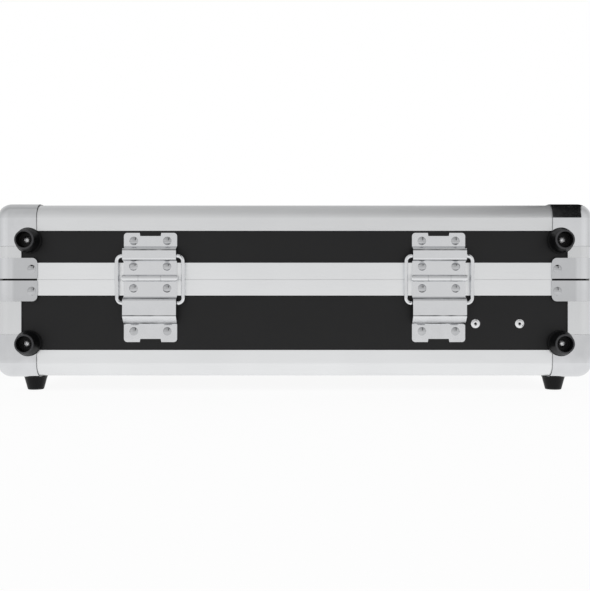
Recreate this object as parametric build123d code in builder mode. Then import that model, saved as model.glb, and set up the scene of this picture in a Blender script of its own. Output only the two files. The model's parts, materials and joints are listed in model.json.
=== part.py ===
"""A 19-inch mixer case: a shallow base and a hinged lid of laminated plywood panels in rounded
aluminium edge profiles, with chromed corners, two lid-stay hinges at the back and two turn
latches and a bail handle at the front.

Millimetres, +Z up. X runs across the hinge side, the hinge side faces -Y and the latch side +Y.
The origin is the middle of the footprint, on the surface that the bottom feet stand on.
Every wall has a plane of its own: local x along the wall, local y up, local z outward, with
its zero on the outer face of the aluminium profiles. A depth below that face is negative.
"""

import os
from math import cos, pi, radians, sqrt, tan

from build123d import *

os.makedirs("parts", exist_ok=True)

# Case body
case_width = 530.0
case_depth = 450.0
base_height = 85.6
lid_height = 66.8
corner_radius = 12.0
rim_gap = 0.2
overrun = 1.0

# Panels and the profiles that hold them
panel_thickness = 6.8
groove_clearance = 0.2
flange_thickness = 1.5
inner_leg_thickness = 1.2
edge_flange = 23.5
chamber_wall = 1.5
base_closing_flange = 13.9
lid_closing_flange = 14.8
closing_inner_flange = 12.0
closing_web = 1.5
tongue_depth = 3.2
tongue_thickness = 1.8
tongue_height = 4.5
tongue_side_gap = 0.4
tongue_inner_gap = 1.4
tongue_top_gap = 0.7
joint_gap = 0.1

# Corner caps and braces
cap_thickness = 1.0
cap_leg = 37.0
cap_flap = 24.5
cap_gap = 0.1
brace_thickness = 1.2
brace_leg = 38.0
brace_height = 18.3
brace_split_gap = 0.75
brace_end_radius = 4.5
brace_rivet_inset = 33.0
brace_rivet_drop = 10.0
brace_rivet_rise = 9.3

# Rivets and screws
rivet_radius = 2.0
rivet_head_radius = 3.75
rivet_head_height = 1.6
shank_clearance = 0.1

# Rubber feet
foot_projection = 14.0
foot_base_radius = 11.4
foot_base_edge = 1.5
foot_rim_radius = 7.9
foot_recess_radius = 6.4
foot_recess_depth = 9.0
foot_rim_round = 0.8
foot_screw_radius = 2.0
foot_screw_head_radius = 3.6
foot_screw_head_height = 2.0
bottom_foot_inset = 28.0
rear_foot_inset = 30.0
rear_foot_rise = 29.5
lid_foot_drop = 32.1

# Lid-stay hinges
hinge_offset = 127.3
hinge_width = 47.0
leaf_thickness = 1.4
pin_radius = 1.7
pin_clearance = 0.05
pin_standoff = 3.5
pin_above_split = 1.3
pin_head_radius = 2.5
pin_head_height = 0.9
knuckle_centre_length = 19.5
knuckle_gap = 0.3
knuckle_relief = 0.35
leaf_rivet_offset = 14.8
lid_inner_rivet_rise = 10.5
base_inner_rivet_drop = 8.9
lid_leaf_gap = 1.85
base_leaf_gap = 7.05
lid_rivet_from_slope = 5.7
base_rivet_from_slope = 6.1
leaf_corner_radius = 3.0
leaf_bend_radius = 0.6
leaf_notch_width = 20.0
leaf_notch_depth = 2.8
leaf_notch_angle = 80.0

# The wire ring that links the two leaves
ring_wire_radius = 1.8
ring_outer_width = 62.0
ring_bar_distance = 41.6
ring_upper_rise = 19.6
ring_upper_standoff = 4.0
ring_lower_standoff = 2.1
ring_bend_radius = 4.7
tunnel_clearance = 0.55
tunnel_slope = 2.4
lid_tunnel_near_slope = 1.6
base_tunnel_far_slope = 7.2

# Travel of the ring's two bars inside the tunnels while the lid opens
upper_bar_travel = 3.0
lower_bar_travel = 9.2

# Turn latches
latch_offset = 150.0
latch_sheet = 1.5
latch_bend_radius = 2.0
housing_height = 38.0
housing_gap = 0.4
housing_side_gap = 1.0
housing_ear = 11.0
housing_rivet_rise = 13.0
claw_thickness = 1.7
claw_body_width = 31.0
claw_strip_width = 16.0
claw_window_margin = 3.5
claw_lift = 9.0
claw_outward = 4.4
claw_lip_gap = 0.6
hook_lip_gap = 0.25
hook_plate_gap = 0.3
hook_angle = 30.0
hook_bend_radius = 1.0
claw_corner_radius = 3.0
eccentric_radius = 7.0
eccentric_end_gap = 0.3
eccentric_running_gap = 0.2
eccentric_lag = 0.22
spindle_radius = 5.0
spindle_clearance = 0.05
spindle_tail_radius = 3.0
spindle_tail_gap = 0.3
spindle_head_radius = 8.0
spindle_head_height = 1.0
spindle_head_gap = 0.2
wing_pin_radius = 1.5
wing_knuckle_radius = 2.6
wing_lug_width = 8.0
wing_lug_gap = 0.3
wing_knuckle_length = 5.0
wing_plate = 2.2
wing_plate_gap = 0.4
wing_neck_overlap = 2.0
wing_lobe_radius = 9.5
wing_lobe_offset = 11.0
wing_reach = 22.0

# Catches on the lid
catch_width = 40.0
catch_sheet = 1.2
catch_bottom_gap = 1.7
catch_height = 12.3
catch_lip_width = 24.0
catch_pocket = 3.25
catch_rivet_offset = 15.5
catch_rivet_rise = 7.7
catch_corner_radius = 2.0
small_head_radius = 3.0
small_head_height = 1.3

# Front handle
handle_drop = 28.0
handle_half_width = 55.0
handle_bar_radius = 3.5
handle_bend_radius = 9.0
handle_pivot_bend_radius = 5.0
handle_end_inset = 1.0
grip_radius = 8.5
grip_end_radius = 7.4
grip_half_length = 42.0
grip_flange_gap = 0.6
bracket_sheet = 2.0
bracket_top_gap = 1.7
bracket_start_gap = 1.5
bracket_lug_width = 16.0
bracket_lug_wall = 2.8
bracket_plate_length = 38.0
bracket_plate_height = 24.0
bracket_rivet_inset = 11.0
bracket_rivet_spacing = 14.0
bracket_corner_radius = 4.0

# Rack rails
rack_unit = 44.45
rack_units = 8
rack_hole_rows = (6.35, 22.225, 38.1)
rack_hole_radius = 2.5
rail_flange_width = 31.1
rail_hole_inset = 24.05
rail_thickness = 2.0
rail_bend_radius = 3.0
rail_leg_height = 28.0
rail_rim_gap = 1.5
rail_wall_gap = 0.1
rail_screw_drop = 17.0
rail_screw_count = 4
rail_screw_end = 30.0
rail_screw_radius = 2.0
rail_screw_depth = 6.0

# Rivets and backing strip on the rear panel
panel_rivet_offsets = (160.1, 199.2)
panel_rivet_rise = 46.8
panel_rivet_head_radius = 4.0
panel_rivet_head_height = 1.2
panel_rivet_bore_radius = 1.15
panel_rivet_rim = 0.3
panel_rivet_crown = 1.0
panel_rivet_tail_length = 1.2
panel_rivet_tail_flare = 0.5
strip_width = 16.0
strip_thickness = 1.5
strip_end = 10.0

# Foam
foam_side_gap = 0.6
foam_bond_gap = 0.3
base_foam_thickness = 12.0
lid_foam_thickness = 28.0
foam_edge_radius = 3.0

# Levels and depths that follow from the sizes above
base_z = foot_projection
split_z = base_z + base_height
lid_z = split_z + rim_gap
top_z = split_z + lid_height
panel_groove = panel_thickness + groove_clearance
panel_depth = flange_thickness + panel_thickness
profile_depth = flange_thickness + panel_groove + inner_leg_thickness
cap_face = cap_gap + cap_thickness
foot_height = foot_projection - cap_face

# Pin, ring and tunnels of the hinges
pin_z = split_z + pin_above_split
knuckle_radius = pin_radius + leaf_thickness
ring_lower_drop = ring_bar_distance - ring_upper_rise
tunnel_ceiling = ring_upper_standoff + ring_wire_radius + tunnel_clearance
bar_room = ring_wire_radius + tunnel_clearance
lid_tunnel_start = pin_z + ring_upper_rise - bar_room
lid_tunnel_end = pin_z + ring_upper_rise + upper_bar_travel + bar_room
base_tunnel_start = pin_z - ring_lower_drop + bar_room
base_tunnel_end = pin_z - ring_lower_drop - lower_bar_travel - bar_room
lid_slope_end = lid_tunnel_end + tunnel_slope
base_slope_end = base_tunnel_end - base_tunnel_far_slope
lid_leaf_end = top_z - edge_flange - lid_leaf_gap
base_leaf_end = base_z + edge_flange + base_leaf_gap
lid_inner_rivet_z = pin_z + lid_inner_rivet_rise
lid_outer_rivet_z = lid_slope_end + lid_rivet_from_slope
base_inner_rivet_z = pin_z - base_inner_rivet_drop
base_outer_rivet_z = base_slope_end - base_rivet_from_slope

# Distances of the latch from the profile face, latched first and then released
lip_inner = catch_sheet + catch_pocket
lip_skew = catch_sheet / sqrt(2)
lip_outer = lip_inner + lip_skew
claw_latched = lip_outer + claw_lip_gap
claw_released = claw_latched + claw_outward
housing_ceiling = claw_released + claw_thickness + housing_gap
housing_face = housing_ceiling + latch_sheet
head_start = housing_face + spindle_head_gap
head_face = head_start + spindle_head_height
wing_pin_standoff = head_face + wing_plate_gap + wing_knuckle_radius
front_reach = wing_pin_standoff + wing_knuckle_radius
eccentric_offset = claw_lift / 2
latch_z = (base_z + edge_flange + split_z - base_closing_flange) / 2
catch_z = lid_z + catch_bottom_gap
lip_top_z = catch_z + catch_pocket + 2 * lip_skew

# The footprint's middle is the origin, so the body stands a little off it
middle_y = (foot_projection - front_reach) / 2
rear_y = middle_y - case_depth / 2
front_y = middle_y + case_depth / 2

UP = Vector(0, 0, 1)
middle = Plane(origin=(0, middle_y, 0), z_dir=(0, 1, 0))
rear = Plane(origin=(0, rear_y, 0), x_dir=(1, 0, 0), z_dir=(0, -1, 0))
front = Plane(origin=(0, front_y, 0), x_dir=(-1, 0, 0), z_dir=(0, 1, 0))
left = Plane(origin=(-case_width / 2, middle_y, 0), x_dir=(0, -1, 0), z_dir=(-1, 0, 0))
right = Plane(origin=(case_width / 2, middle_y, 0), x_dir=(0, 1, 0), z_dir=(1, 0, 0))
walls = {
    "rear": (rear, case_width / 2),
    "front": (front, case_width / 2),
    "left": (left, case_depth / 2),
    "right": (right, case_depth / 2),
}


def save(part, name):
    """Labels a finished piece and writes it as the node of that name."""
    part.label = name
    export_step(part, f"parts/{name}.step")


def section_plane(wall, along=0.0):
    """A plane across a wall: local x outward, local y up."""
    origin = wall.origin + wall.x_dir * along
    return Plane(origin=origin, x_dir=wall.z_dir, z_dir=wall.z_dir.cross(UP))


def plan_plane(wall, z):
    """A level plane at height z: local x along the wall, local y inward."""
    return Plane(origin=wall.origin + UP * z, x_dir=wall.x_dir, z_dir=UP)


def edge_plane(origin, into_first, into_second):
    """A plane across an edge of the case, with both local axes pointing into the case."""
    first = Vector(*into_first)
    return Plane(origin=origin, x_dir=first, z_dir=first.cross(Vector(*into_second)))


def on_wall(wall, points, standoff):
    """The places of fasteners at points of a wall, their heads seated at that standoff."""
    return [wall.offset(standoff).location * Location((x, z, 0)) for x, z in points]


# Rounded edge profile: a quarter round with a groove for each of the two panels that meet
def edge_face():
    chamber = profile_depth - chamber_wall
    inner_radius = corner_radius - flange_thickness
    reach = corner_radius - sqrt(inner_radius**2 - (corner_radius - chamber) ** 2)
    middle_of_round = inner_radius * cos(pi / 4)
    with BuildSketch() as face:
        with BuildLine():
            Polyline(
                (corner_radius, 0),
                (edge_flange, 0),
                (edge_flange, flange_thickness),
                (corner_radius, flange_thickness),
                (corner_radius, flange_thickness + panel_groove),
                (edge_flange, flange_thickness + panel_groove),
                (edge_flange, profile_depth),
                (profile_depth, profile_depth),
                (profile_depth, edge_flange),
                (flange_thickness + panel_groove, edge_flange),
                (flange_thickness + panel_groove, corner_radius),
                (flange_thickness, corner_radius),
                (flange_thickness, edge_flange),
                (0, edge_flange),
                (0, corner_radius),
            )
            RadiusArc((0, corner_radius), (corner_radius, 0), -corner_radius)
        make_face()
        with BuildLine():
            Polyline((reach, chamber), (chamber, chamber), (chamber, reach))
            ThreePointArc(
                (chamber, reach),
                (corner_radius - middle_of_round, corner_radius - middle_of_round),
                (reach, chamber),
            )
        make_face(mode=Mode.SUBTRACT)
    return face.sketch


edge_section = edge_face()


def edge_along(wall, half, z, vertical):
    """One horizontal edge profile, mitred on its flat face and cut square beside the corner."""
    plane = edge_plane(wall.origin + UP * z, -wall.z_dir, (0, 0, vertical))
    level = plan_plane(wall, min(z, z + vertical * edge_flange) - overrun)
    square = half - corner_radius - joint_gap
    deep = edge_flange + overrun
    with BuildPart() as profile:
        with BuildSketch(plane):
            add(edge_section)
        extrude(amount=half, both=True)
        with BuildSketch(level):
            for end in (-1, 1):
                with BuildLine():
                    Polyline(
                        (end * square, -overrun),
                        (end * square, corner_radius),
                        (end * (half - deep - joint_gap), deep),
                        (end * (half + overrun), deep),
                        (end * (half + overrun), -overrun),
                        close=True,
                    )
                make_face()
        extrude(amount=edge_flange + 2 * overrun, mode=Mode.SUBTRACT)
    return profile.part


def upright_edges(low, high):
    """The four vertical edge profiles between two levels."""
    with BuildPart() as uprights:
        with BuildSketch(Plane.XY.offset(low)):
            for side_x, side_y, turn in ((-1, -1, 0), (1, -1, 90), (1, 1, 180), (-1, 1, 270)):
                x = side_x * case_width / 2
                y = middle_y + side_y * case_depth / 2
                with Locations(Location((x, y, 0), (0, 0, turn))):
                    add(edge_section)
        extrude(amount=high - low)
    return uprights.part


# Closing profiles of the rim: a tongue all round the base, a groove all round the lid
def base_closing_face():
    panel_side = -(flange_thickness + panel_groove)
    with BuildSketch() as face:
        with BuildLine():
            Polyline(
                (0, split_z),
                (-tongue_depth, split_z),
                (-tongue_depth, split_z + tongue_height),
                (-tongue_depth - tongue_thickness, split_z + tongue_height),
                (-tongue_depth - tongue_thickness, split_z),
                (-profile_depth, split_z),
                (-profile_depth, split_z - closing_inner_flange),
                (panel_side, split_z - closing_inner_flange),
                (panel_side, split_z - closing_web),
                (-flange_thickness, split_z - closing_web),
                (-flange_thickness, split_z - base_closing_flange),
                (0, split_z - base_closing_flange),
                close=True,
            )
        make_face()
    return face.sketch


groove_ceiling = lid_z + tongue_height + tongue_top_gap
lid_web_top = groove_ceiling + closing_web


def lid_closing_face():
    panel_side = -(flange_thickness + panel_groove)
    groove_outer = -(tongue_depth - tongue_side_gap)
    groove_inner = -(tongue_depth + tongue_thickness + tongue_inner_gap)
    with BuildSketch() as face:
        with BuildLine():
            Polyline(
                (0, lid_z),
                (groove_outer, lid_z),
                (groove_outer, groove_ceiling),
                (groove_inner, groove_ceiling),
                (groove_inner, lid_z),
                (-profile_depth, lid_z),
                (-profile_depth, lid_z + closing_inner_flange),
                (panel_side, lid_z + closing_inner_flange),
                (panel_side, lid_web_top),
                (-flange_thickness, lid_web_top),
                (-flange_thickness, lid_z + lid_closing_flange),
                (0, lid_z + lid_closing_flange),
                close=True,
            )
        make_face()
    return face.sketch


def closing_along(wall, half, section, low, high, holes):
    """One closing profile, mitred at 45 degrees, with the case's round at its outer corners."""
    mitre = half - joint_gap
    deep = profile_depth + overrun
    beyond = half + overrun
    with BuildPart() as profile:
        with BuildSketch(section_plane(wall)):
            add(section)
        extrude(amount=half, both=True)
        with BuildSketch(plan_plane(wall, low - overrun)):
            for end in (-1, 1):
                with BuildLine():
                    Polyline(
                        (end * (mitre + overrun), -overrun),
                        (end * (mitre - deep), deep),
                        (end * beyond, deep),
                        (end * beyond, -overrun),
                        close=True,
                    )
                make_face()
                with BuildLine():
                    RadiusArc(
                        (end * (half - corner_radius), 0),
                        (end * half, corner_radius),
                        end * corner_radius,
                    )
                    Polyline(
                        (end * half, corner_radius),
                        (end * beyond, corner_radius),
                        (end * beyond, -overrun),
                        (end * (half - corner_radius), -overrun),
                        (end * (half - corner_radius), 0),
                    )
                make_face()
        extrude(amount=high - low + 2 * overrun, mode=Mode.SUBTRACT)
        if holes:
            with BuildSketch(wall):
                with Locations(*holes):
                    Circle(rivet_radius + shank_clearance)
            extrude(amount=-panel_depth, mode=Mode.SUBTRACT)
    return profile.part


# Where rivets, screws and shafts go through each wall: (along the wall, height)
def brace_rivets(half, z):
    return [(end * (half - brace_rivet_inset), z) for end in (-1, 1)]


hinge_columns = [
    side * hinge_offset + across
    for side in (-1, 1)
    for across in (-leaf_rivet_offset, leaf_rivet_offset)
]
base_brace_rivet_z = split_z - brace_rivet_drop
lid_brace_rivet_z = lid_z + brace_rivet_rise
housing_rivet_offset = claw_body_width / 2 + housing_side_gap + latch_sheet + housing_ear / 2
pivot_z = split_z - base_closing_flange - bracket_top_gap - bracket_plate_height / 2
catch_rivet_z = catch_z + catch_rivet_rise
bracket_lug_start = handle_half_width + handle_bar_radius + bracket_start_gap
bracket_rivet_x = bracket_lug_start + bracket_plate_length - bracket_rivet_inset

catch_rivets = [
    (side * latch_offset + across, catch_rivet_z)
    for side in (-1, 1)
    for across in (-catch_rivet_offset, catch_rivet_offset)
]
base_flange_rivets = {
    "rear": brace_rivets(case_width / 2, base_brace_rivet_z)
    + [(x, base_inner_rivet_z) for x in hinge_columns],
    "front": brace_rivets(case_width / 2, base_brace_rivet_z),
    "left": brace_rivets(case_depth / 2, base_brace_rivet_z),
    "right": brace_rivets(case_depth / 2, base_brace_rivet_z),
}
lid_flange_rivets = {
    "rear": brace_rivets(case_width / 2, lid_brace_rivet_z)
    + [(x, lid_inner_rivet_z) for x in hinge_columns],
    "front": brace_rivets(case_width / 2, lid_brace_rivet_z) + catch_rivets,
    "left": brace_rivets(case_depth / 2, lid_brace_rivet_z),
    "right": brace_rivets(case_depth / 2, lid_brace_rivet_z),
}
housing_rivets = [
    (side * latch_offset + across, latch_z + rise)
    for side in (-1, 1)
    for across in (-housing_rivet_offset, housing_rivet_offset)
    for rise in (-housing_rivet_rise, housing_rivet_rise)
]
bracket_rivets = [
    (side * bracket_rivet_x, pivot_z + rise)
    for side in (-1, 1)
    for rise in (-bracket_rivet_spacing / 2, bracket_rivet_spacing / 2)
]
base_rear_feet_places = [
    (side * (case_width / 2 - rear_foot_inset), base_z + rear_foot_rise) for side in (-1, 1)
]
lid_rear_feet_places = [
    (side * (case_width / 2 - rear_foot_inset), top_z - lid_foot_drop) for side in (-1, 1)
]
base_panel_rivets = {
    "rear": [(x, base_outer_rivet_z) for x in hinge_columns],
    "front": housing_rivets + bracket_rivets,
    "left": [],
    "right": [],
}
lid_panel_rivets = {
    "rear": [(x, lid_outer_rivet_z) for x in hinge_columns],
    "front": [],
    "left": [],
    "right": [],
}
panel_rivet_places = [(x, base_z + panel_rivet_rise) for x in panel_rivet_offsets]


# Panels: laminated plywood, each edge seated in the groove of a profile
def wall_panel(wall, half, low, high, holes):
    length = 2 * (half - corner_radius - groove_clearance)
    with BuildPart() as panel:
        with BuildSketch(wall.offset(-flange_thickness)):
            with Locations((0, (low + high) / 2)):
                Rectangle(length, high - low)
            for points, radius in holes:
                with Locations(*points):
                    Circle(radius, mode=Mode.SUBTRACT)
        extrude(amount=-panel_thickness)
    return panel.part


def level_panel(outer_z, inward, holes):
    """The floor or the top, with its outer face just inside the flanges."""
    across = 2 * (corner_radius + groove_clearance)
    with BuildPart() as panel:
        with BuildSketch(Plane.XY.offset(outer_z + inward * flange_thickness)):
            with Locations((0, middle_y)):
                Rectangle(case_width - across, case_depth - across)
            if holes:
                with Locations(*holes):
                    Circle(foot_screw_radius + shank_clearance, mode=Mode.SUBTRACT)
        extrude(amount=inward * panel_thickness)
    return panel.part


base_panel_low = base_z + corner_radius + groove_clearance
base_panel_high = split_z - closing_web - groove_clearance
lid_panel_low = lid_web_top + groove_clearance
lid_panel_high = top_z - corner_radius - groove_clearance
rivet_hole = rivet_radius + shank_clearance
screw_hole = foot_screw_radius + shank_clearance
bottom_foot_places = [
    (
        side_x * (case_width / 2 - bottom_foot_inset),
        middle_y + side_y * (case_depth / 2 - bottom_foot_inset),
    )
    for side_x in (-1, 1)
    for side_y in (-1, 1)
]

rail_outer = case_width / 2 - panel_depth - rail_wall_gap
rack_hole_spacing = 2 * (rail_outer - rail_hole_inset)
rail_top_z = split_z - closing_inner_flange - rail_rim_gap
rail_length = rack_units * rack_unit
rail_screw_z = rail_top_z - rail_screw_drop
rail_screw_step = (rail_length - 2 * rail_screw_end) / (rail_screw_count - 1)
rail_screw_places = [
    (-rail_length / 2 + rail_screw_end + i * rail_screw_step, rail_screw_z)
    for i in range(rail_screw_count)
]

for name, (wall, half) in walls.items():
    holes = [(base_flange_rivets[name] + base_panel_rivets[name], rivet_hole)]
    if name == "rear":
        holes += [(base_rear_feet_places, screw_hole), (panel_rivet_places, rivet_hole)]
    panel = wall_panel(wall, half, base_panel_low, base_panel_high, holes)
    if name in ("left", "right"):
        inside = wall.offset(-panel_depth)
        with BuildPart() as side_panel:
            add(panel)
            with BuildSketch(inside):
                with Locations(*rail_screw_places):
                    Circle(rail_screw_radius + shank_clearance)
            extrude(amount=rail_screw_depth, mode=Mode.SUBTRACT)
        panel = side_panel.part
    save(panel, f"base_{name}_panel")

    holes = [(lid_flange_rivets[name] + lid_panel_rivets[name], rivet_hole)]
    if name == "rear":
        holes += [(lid_rear_feet_places, screw_hole)]
    save(wall_panel(wall, half, lid_panel_low, lid_panel_high, holes), f"lid_{name}_panel")

save(level_panel(base_z, 1, bottom_foot_places), "base_floor_panel")
save(level_panel(top_z, -1, []), "lid_top_panel")

# Profiles, each a group of four lengths
bottom_lengths = [edge_along(wall, half, base_z, 1) for wall, half in walls.values()]
with BuildPart() as base_bottom_edges:
    add(bottom_lengths)
save(base_bottom_edges.part, "base_bottom_edges")

top_lengths = [edge_along(wall, half, top_z, -1) for wall, half in walls.values()]
with BuildPart() as lid_top_edges:
    add(top_lengths)
save(lid_top_edges.part, "lid_top_edges")

save(
    upright_edges(
        base_z + edge_flange + joint_gap, split_z - base_closing_flange - joint_gap
    ),
    "base_upright_edges",
)
save(
    upright_edges(lid_z + lid_closing_flange + joint_gap, top_z - edge_flange - joint_gap),
    "lid_upright_edges",
)

base_section = base_closing_face()
base_lengths = [
    closing_along(
        wall, half, base_section, split_z - base_closing_flange, split_z + tongue_height,
        base_flange_rivets[name],
    )
    for name, (wall, half) in walls.items()
]
with BuildPart() as base_closing_profile:
    add(base_lengths)
save(base_closing_profile.part, "base_closing_profile")

lid_section = lid_closing_face()
lid_lengths = [
    closing_along(
        wall, half, lid_section, lid_z, lid_z + lid_closing_flange, lid_flange_rivets[name]
    )
    for name, (wall, half) in walls.items()
]
with BuildPart() as lid_closing_profile:
    add(lid_lengths)
save(lid_closing_profile.part, "lid_closing_profile")


# Corner caps: pressed steel, three flaps that meet in a ball corner
def corner_cap(corner_z, vertical):
    """The cap at the right rear corner. vertical is 1 where the case lies above it."""

    def block(face, length):
        """A box with a ball corner, its faces that far outside the profiles."""
        size = face + length
        level = corner_z + vertical * (length - face) / 2
        with BuildPart() as solid:
            with Locations(
                (case_width / 2 + face - size / 2, rear_y - face + size / 2, level)
            ):
                Box(size, size, size)
            outer = solid.faces().sort_by(Axis.X)[-1]
            back = solid.faces().sort_by(Axis.Y)[0]
            end = solid.faces().sort_by(Axis.Z)[0 if vertical > 0 else -1]
            seams = [
                edge
                for edge in solid.edges()
                if sum(edge in side.edges() for side in (outer, back, end)) == 2
            ]
            fillet(seams, corner_radius + face)
        return solid.part

    outside = block(cap_face, cap_leg)
    inside = block(cap_gap, cap_leg + overrun)
    through = 4 * cap_face
    far = cap_leg + 2 * overrun - cap_flap
    reach = case_width / 2 - cap_flap - far / 2
    depth = rear_y + cap_flap + far / 2
    rise = corner_z + vertical * (cap_flap + far / 2)
    with BuildPart() as cap:
        add(outside)
        add(inside, mode=Mode.SUBTRACT)
        with Locations((reach, depth, corner_z)):
            Box(far, far, through, mode=Mode.SUBTRACT)
        with Locations((reach, rear_y, rise)):
            Box(far, through, far, mode=Mode.SUBTRACT)
        with Locations((case_width / 2, depth, rise)):
            Box(through, far, far, mode=Mode.SUBTRACT)
    return cap.part


def all_corners(part):
    """The piece of the right rear corner at all four corners."""
    with BuildPart() as group:
        add(part)
        mirror(about=Plane.YZ)
        mirror(about=middle)
    return group.part


save(all_corners(corner_cap(base_z, 1)), "base_corner_caps")
save(all_corners(corner_cap(top_z, -1)), "lid_corner_caps")


# Corner braces: flat steel bent round the upright, one above and one below the split
def corner_brace(low, high, free_z):
    inner = cap_gap
    outer = cap_gap + brace_thickness
    x = case_width / 2
    with BuildPart() as brace:
        with BuildSketch(Plane.XY.offset(low)):
            with BuildLine():
                Line((x - brace_leg, rear_y - outer), (x - corner_radius, rear_y - outer))
                RadiusArc(
                    (x - corner_radius, rear_y - outer),
                    (x + outer, rear_y + corner_radius),
                    -(corner_radius + outer),
                )
                Polyline(
                    (x + outer, rear_y + corner_radius),
                    (x + outer, rear_y + brace_leg),
                    (x + inner, rear_y + brace_leg),
                    (x + inner, rear_y + corner_radius),
                )
                RadiusArc(
                    (x + inner, rear_y + corner_radius),
                    (x - corner_radius, rear_y - inner),
                    corner_radius + inner,
                )
                Polyline(
                    (x - corner_radius, rear_y - inner),
                    (x - brace_leg, rear_y - inner),
                    (x - brace_leg, rear_y - outer),
                )
            make_face()
        extrude(amount=high - low)
        free_ends = (
            brace.edges().filter_by(Axis.Y).group_by(Axis.X)[0]
            + brace.edges().filter_by(Axis.X).group_by(Axis.Y)[-1]
        )
        fillet(
            [edge for edge in free_ends if abs(edge.center().Z - free_z) < 0.01],
            brace_end_radius,
        )
        for wall, half, side in ((rear, case_width / 2, 1), (right, case_depth / 2, -1)):
            with BuildSketch(wall.offset(outer)):
                with Locations((side * (half - brace_rivet_inset), rivet_level(free_z))):
                    Circle(rivet_hole)
            extrude(amount=-2 * brace_thickness, mode=Mode.SUBTRACT)
    return brace.part


def rivet_level(free_z):
    return base_brace_rivet_z if free_z < split_z else lid_brace_rivet_z


base_brace_high = split_z - brace_split_gap
base_brace_low = base_brace_high - brace_height
lid_brace_low = lid_z + brace_split_gap
lid_brace_high = lid_brace_low + brace_height
save(
    all_corners(corner_brace(base_brace_low, base_brace_high, base_brace_low)),
    "base_corner_braces",
)
save(
    all_corners(corner_brace(lid_brace_low, lid_brace_high, lid_brace_high)),
    "lid_corner_braces",
)


# Domed rivets and screws: the head's underside lies on the plane z = 0
def domed_fastener(head_radius, head_height, shank_radius, shank_length):
    dome = (head_radius**2 + head_height**2) / (2 * head_height)
    with BuildPart() as fastener:
        with BuildSketch(Plane.XZ):
            with BuildLine():
                Polyline(
                    (0, head_height),
                    (0, -shank_length),
                    (shank_radius, -shank_length),
                    (shank_radius, 0),
                    (head_radius, 0),
                )
                RadiusArc((head_radius, 0), (0, head_height), -dome)
            make_face()
        revolve(axis=Axis.Z)
    return fastener.part


def group_of(fastener_places):
    """Separate fasteners of one kind: a list of (fastener, places)."""
    with BuildPart() as group:
        for fastener, places in fastener_places:
            with Locations(*places):
                add(fastener)
    return group.part


def flange_fastener(standoff, head_radius=rivet_head_radius, head_height=rivet_head_height):
    """A rivet whose head sits that far from the profile's face, through to the panel's back."""
    return domed_fastener(
        head_radius, head_height, rivet_radius, panel_depth + standoff - shank_clearance
    )


brace_seat = cap_gap + brace_thickness
for body, height in (("base", base_brace_rivet_z), ("lid", lid_brace_rivet_z)):
    places = []
    for wall, half in walls.values():
        places += on_wall(wall, brace_rivets(half, height), brace_seat)
    save(group_of([(flange_fastener(brace_seat), places)]), f"{body}_brace_rivets")


# Rubber feet: cones with a recess for the screw
def rubber_foot():
    with BuildPart() as foot:
        with BuildSketch(Plane.XZ) as profile:
            with BuildLine():
                Polyline(
                    (foot_screw_radius + shank_clearance, 0),
                    (foot_base_radius, 0),
                    (foot_base_radius, foot_base_edge),
                    (foot_rim_radius, foot_height),
                    (foot_recess_radius, foot_height),
                    (foot_recess_radius, foot_height - foot_recess_depth),
                    (foot_screw_radius + shank_clearance, foot_height - foot_recess_depth),
                    close=True,
                )
            make_face()
            rim = profile.vertices().group_by(Axis.Y)[-1].sort_by(Axis.X)[-1]
            fillet(rim, foot_rim_round)
        revolve(axis=Axis.Z)
    return foot.part


foot = rubber_foot()
foot_floor = foot_height - foot_recess_depth
foot_screw = domed_fastener(
    foot_screw_head_radius,
    foot_screw_head_height,
    foot_screw_radius,
    foot_floor + cap_face + panel_depth - shank_clearance,
)
underside = Plane(origin=(0, 0, base_z), x_dir=(1, 0, 0), z_dir=(0, 0, -1))
bottom_points = [(x, -y) for x, y in bottom_foot_places]
save(group_of([(foot, on_wall(underside, bottom_points, cap_face))]), "base_feet")
save(group_of([(foot, on_wall(rear, base_rear_feet_places, cap_face))]), "base_rear_feet")
save(group_of([(foot, on_wall(rear, lid_rear_feet_places, cap_face))]), "lid_rear_feet")
screw_seat = cap_face + foot_floor
save(
    group_of(
        [
            (foot_screw, on_wall(underside, bottom_points, screw_seat)),
            (foot_screw, on_wall(rear, base_rear_feet_places, screw_seat)),
        ]
    ),
    "base_foot_screws",
)
save(
    group_of([(foot_screw, on_wall(rear, lid_rear_feet_places, screw_seat))]),
    "lid_foot_screws",
)


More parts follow.
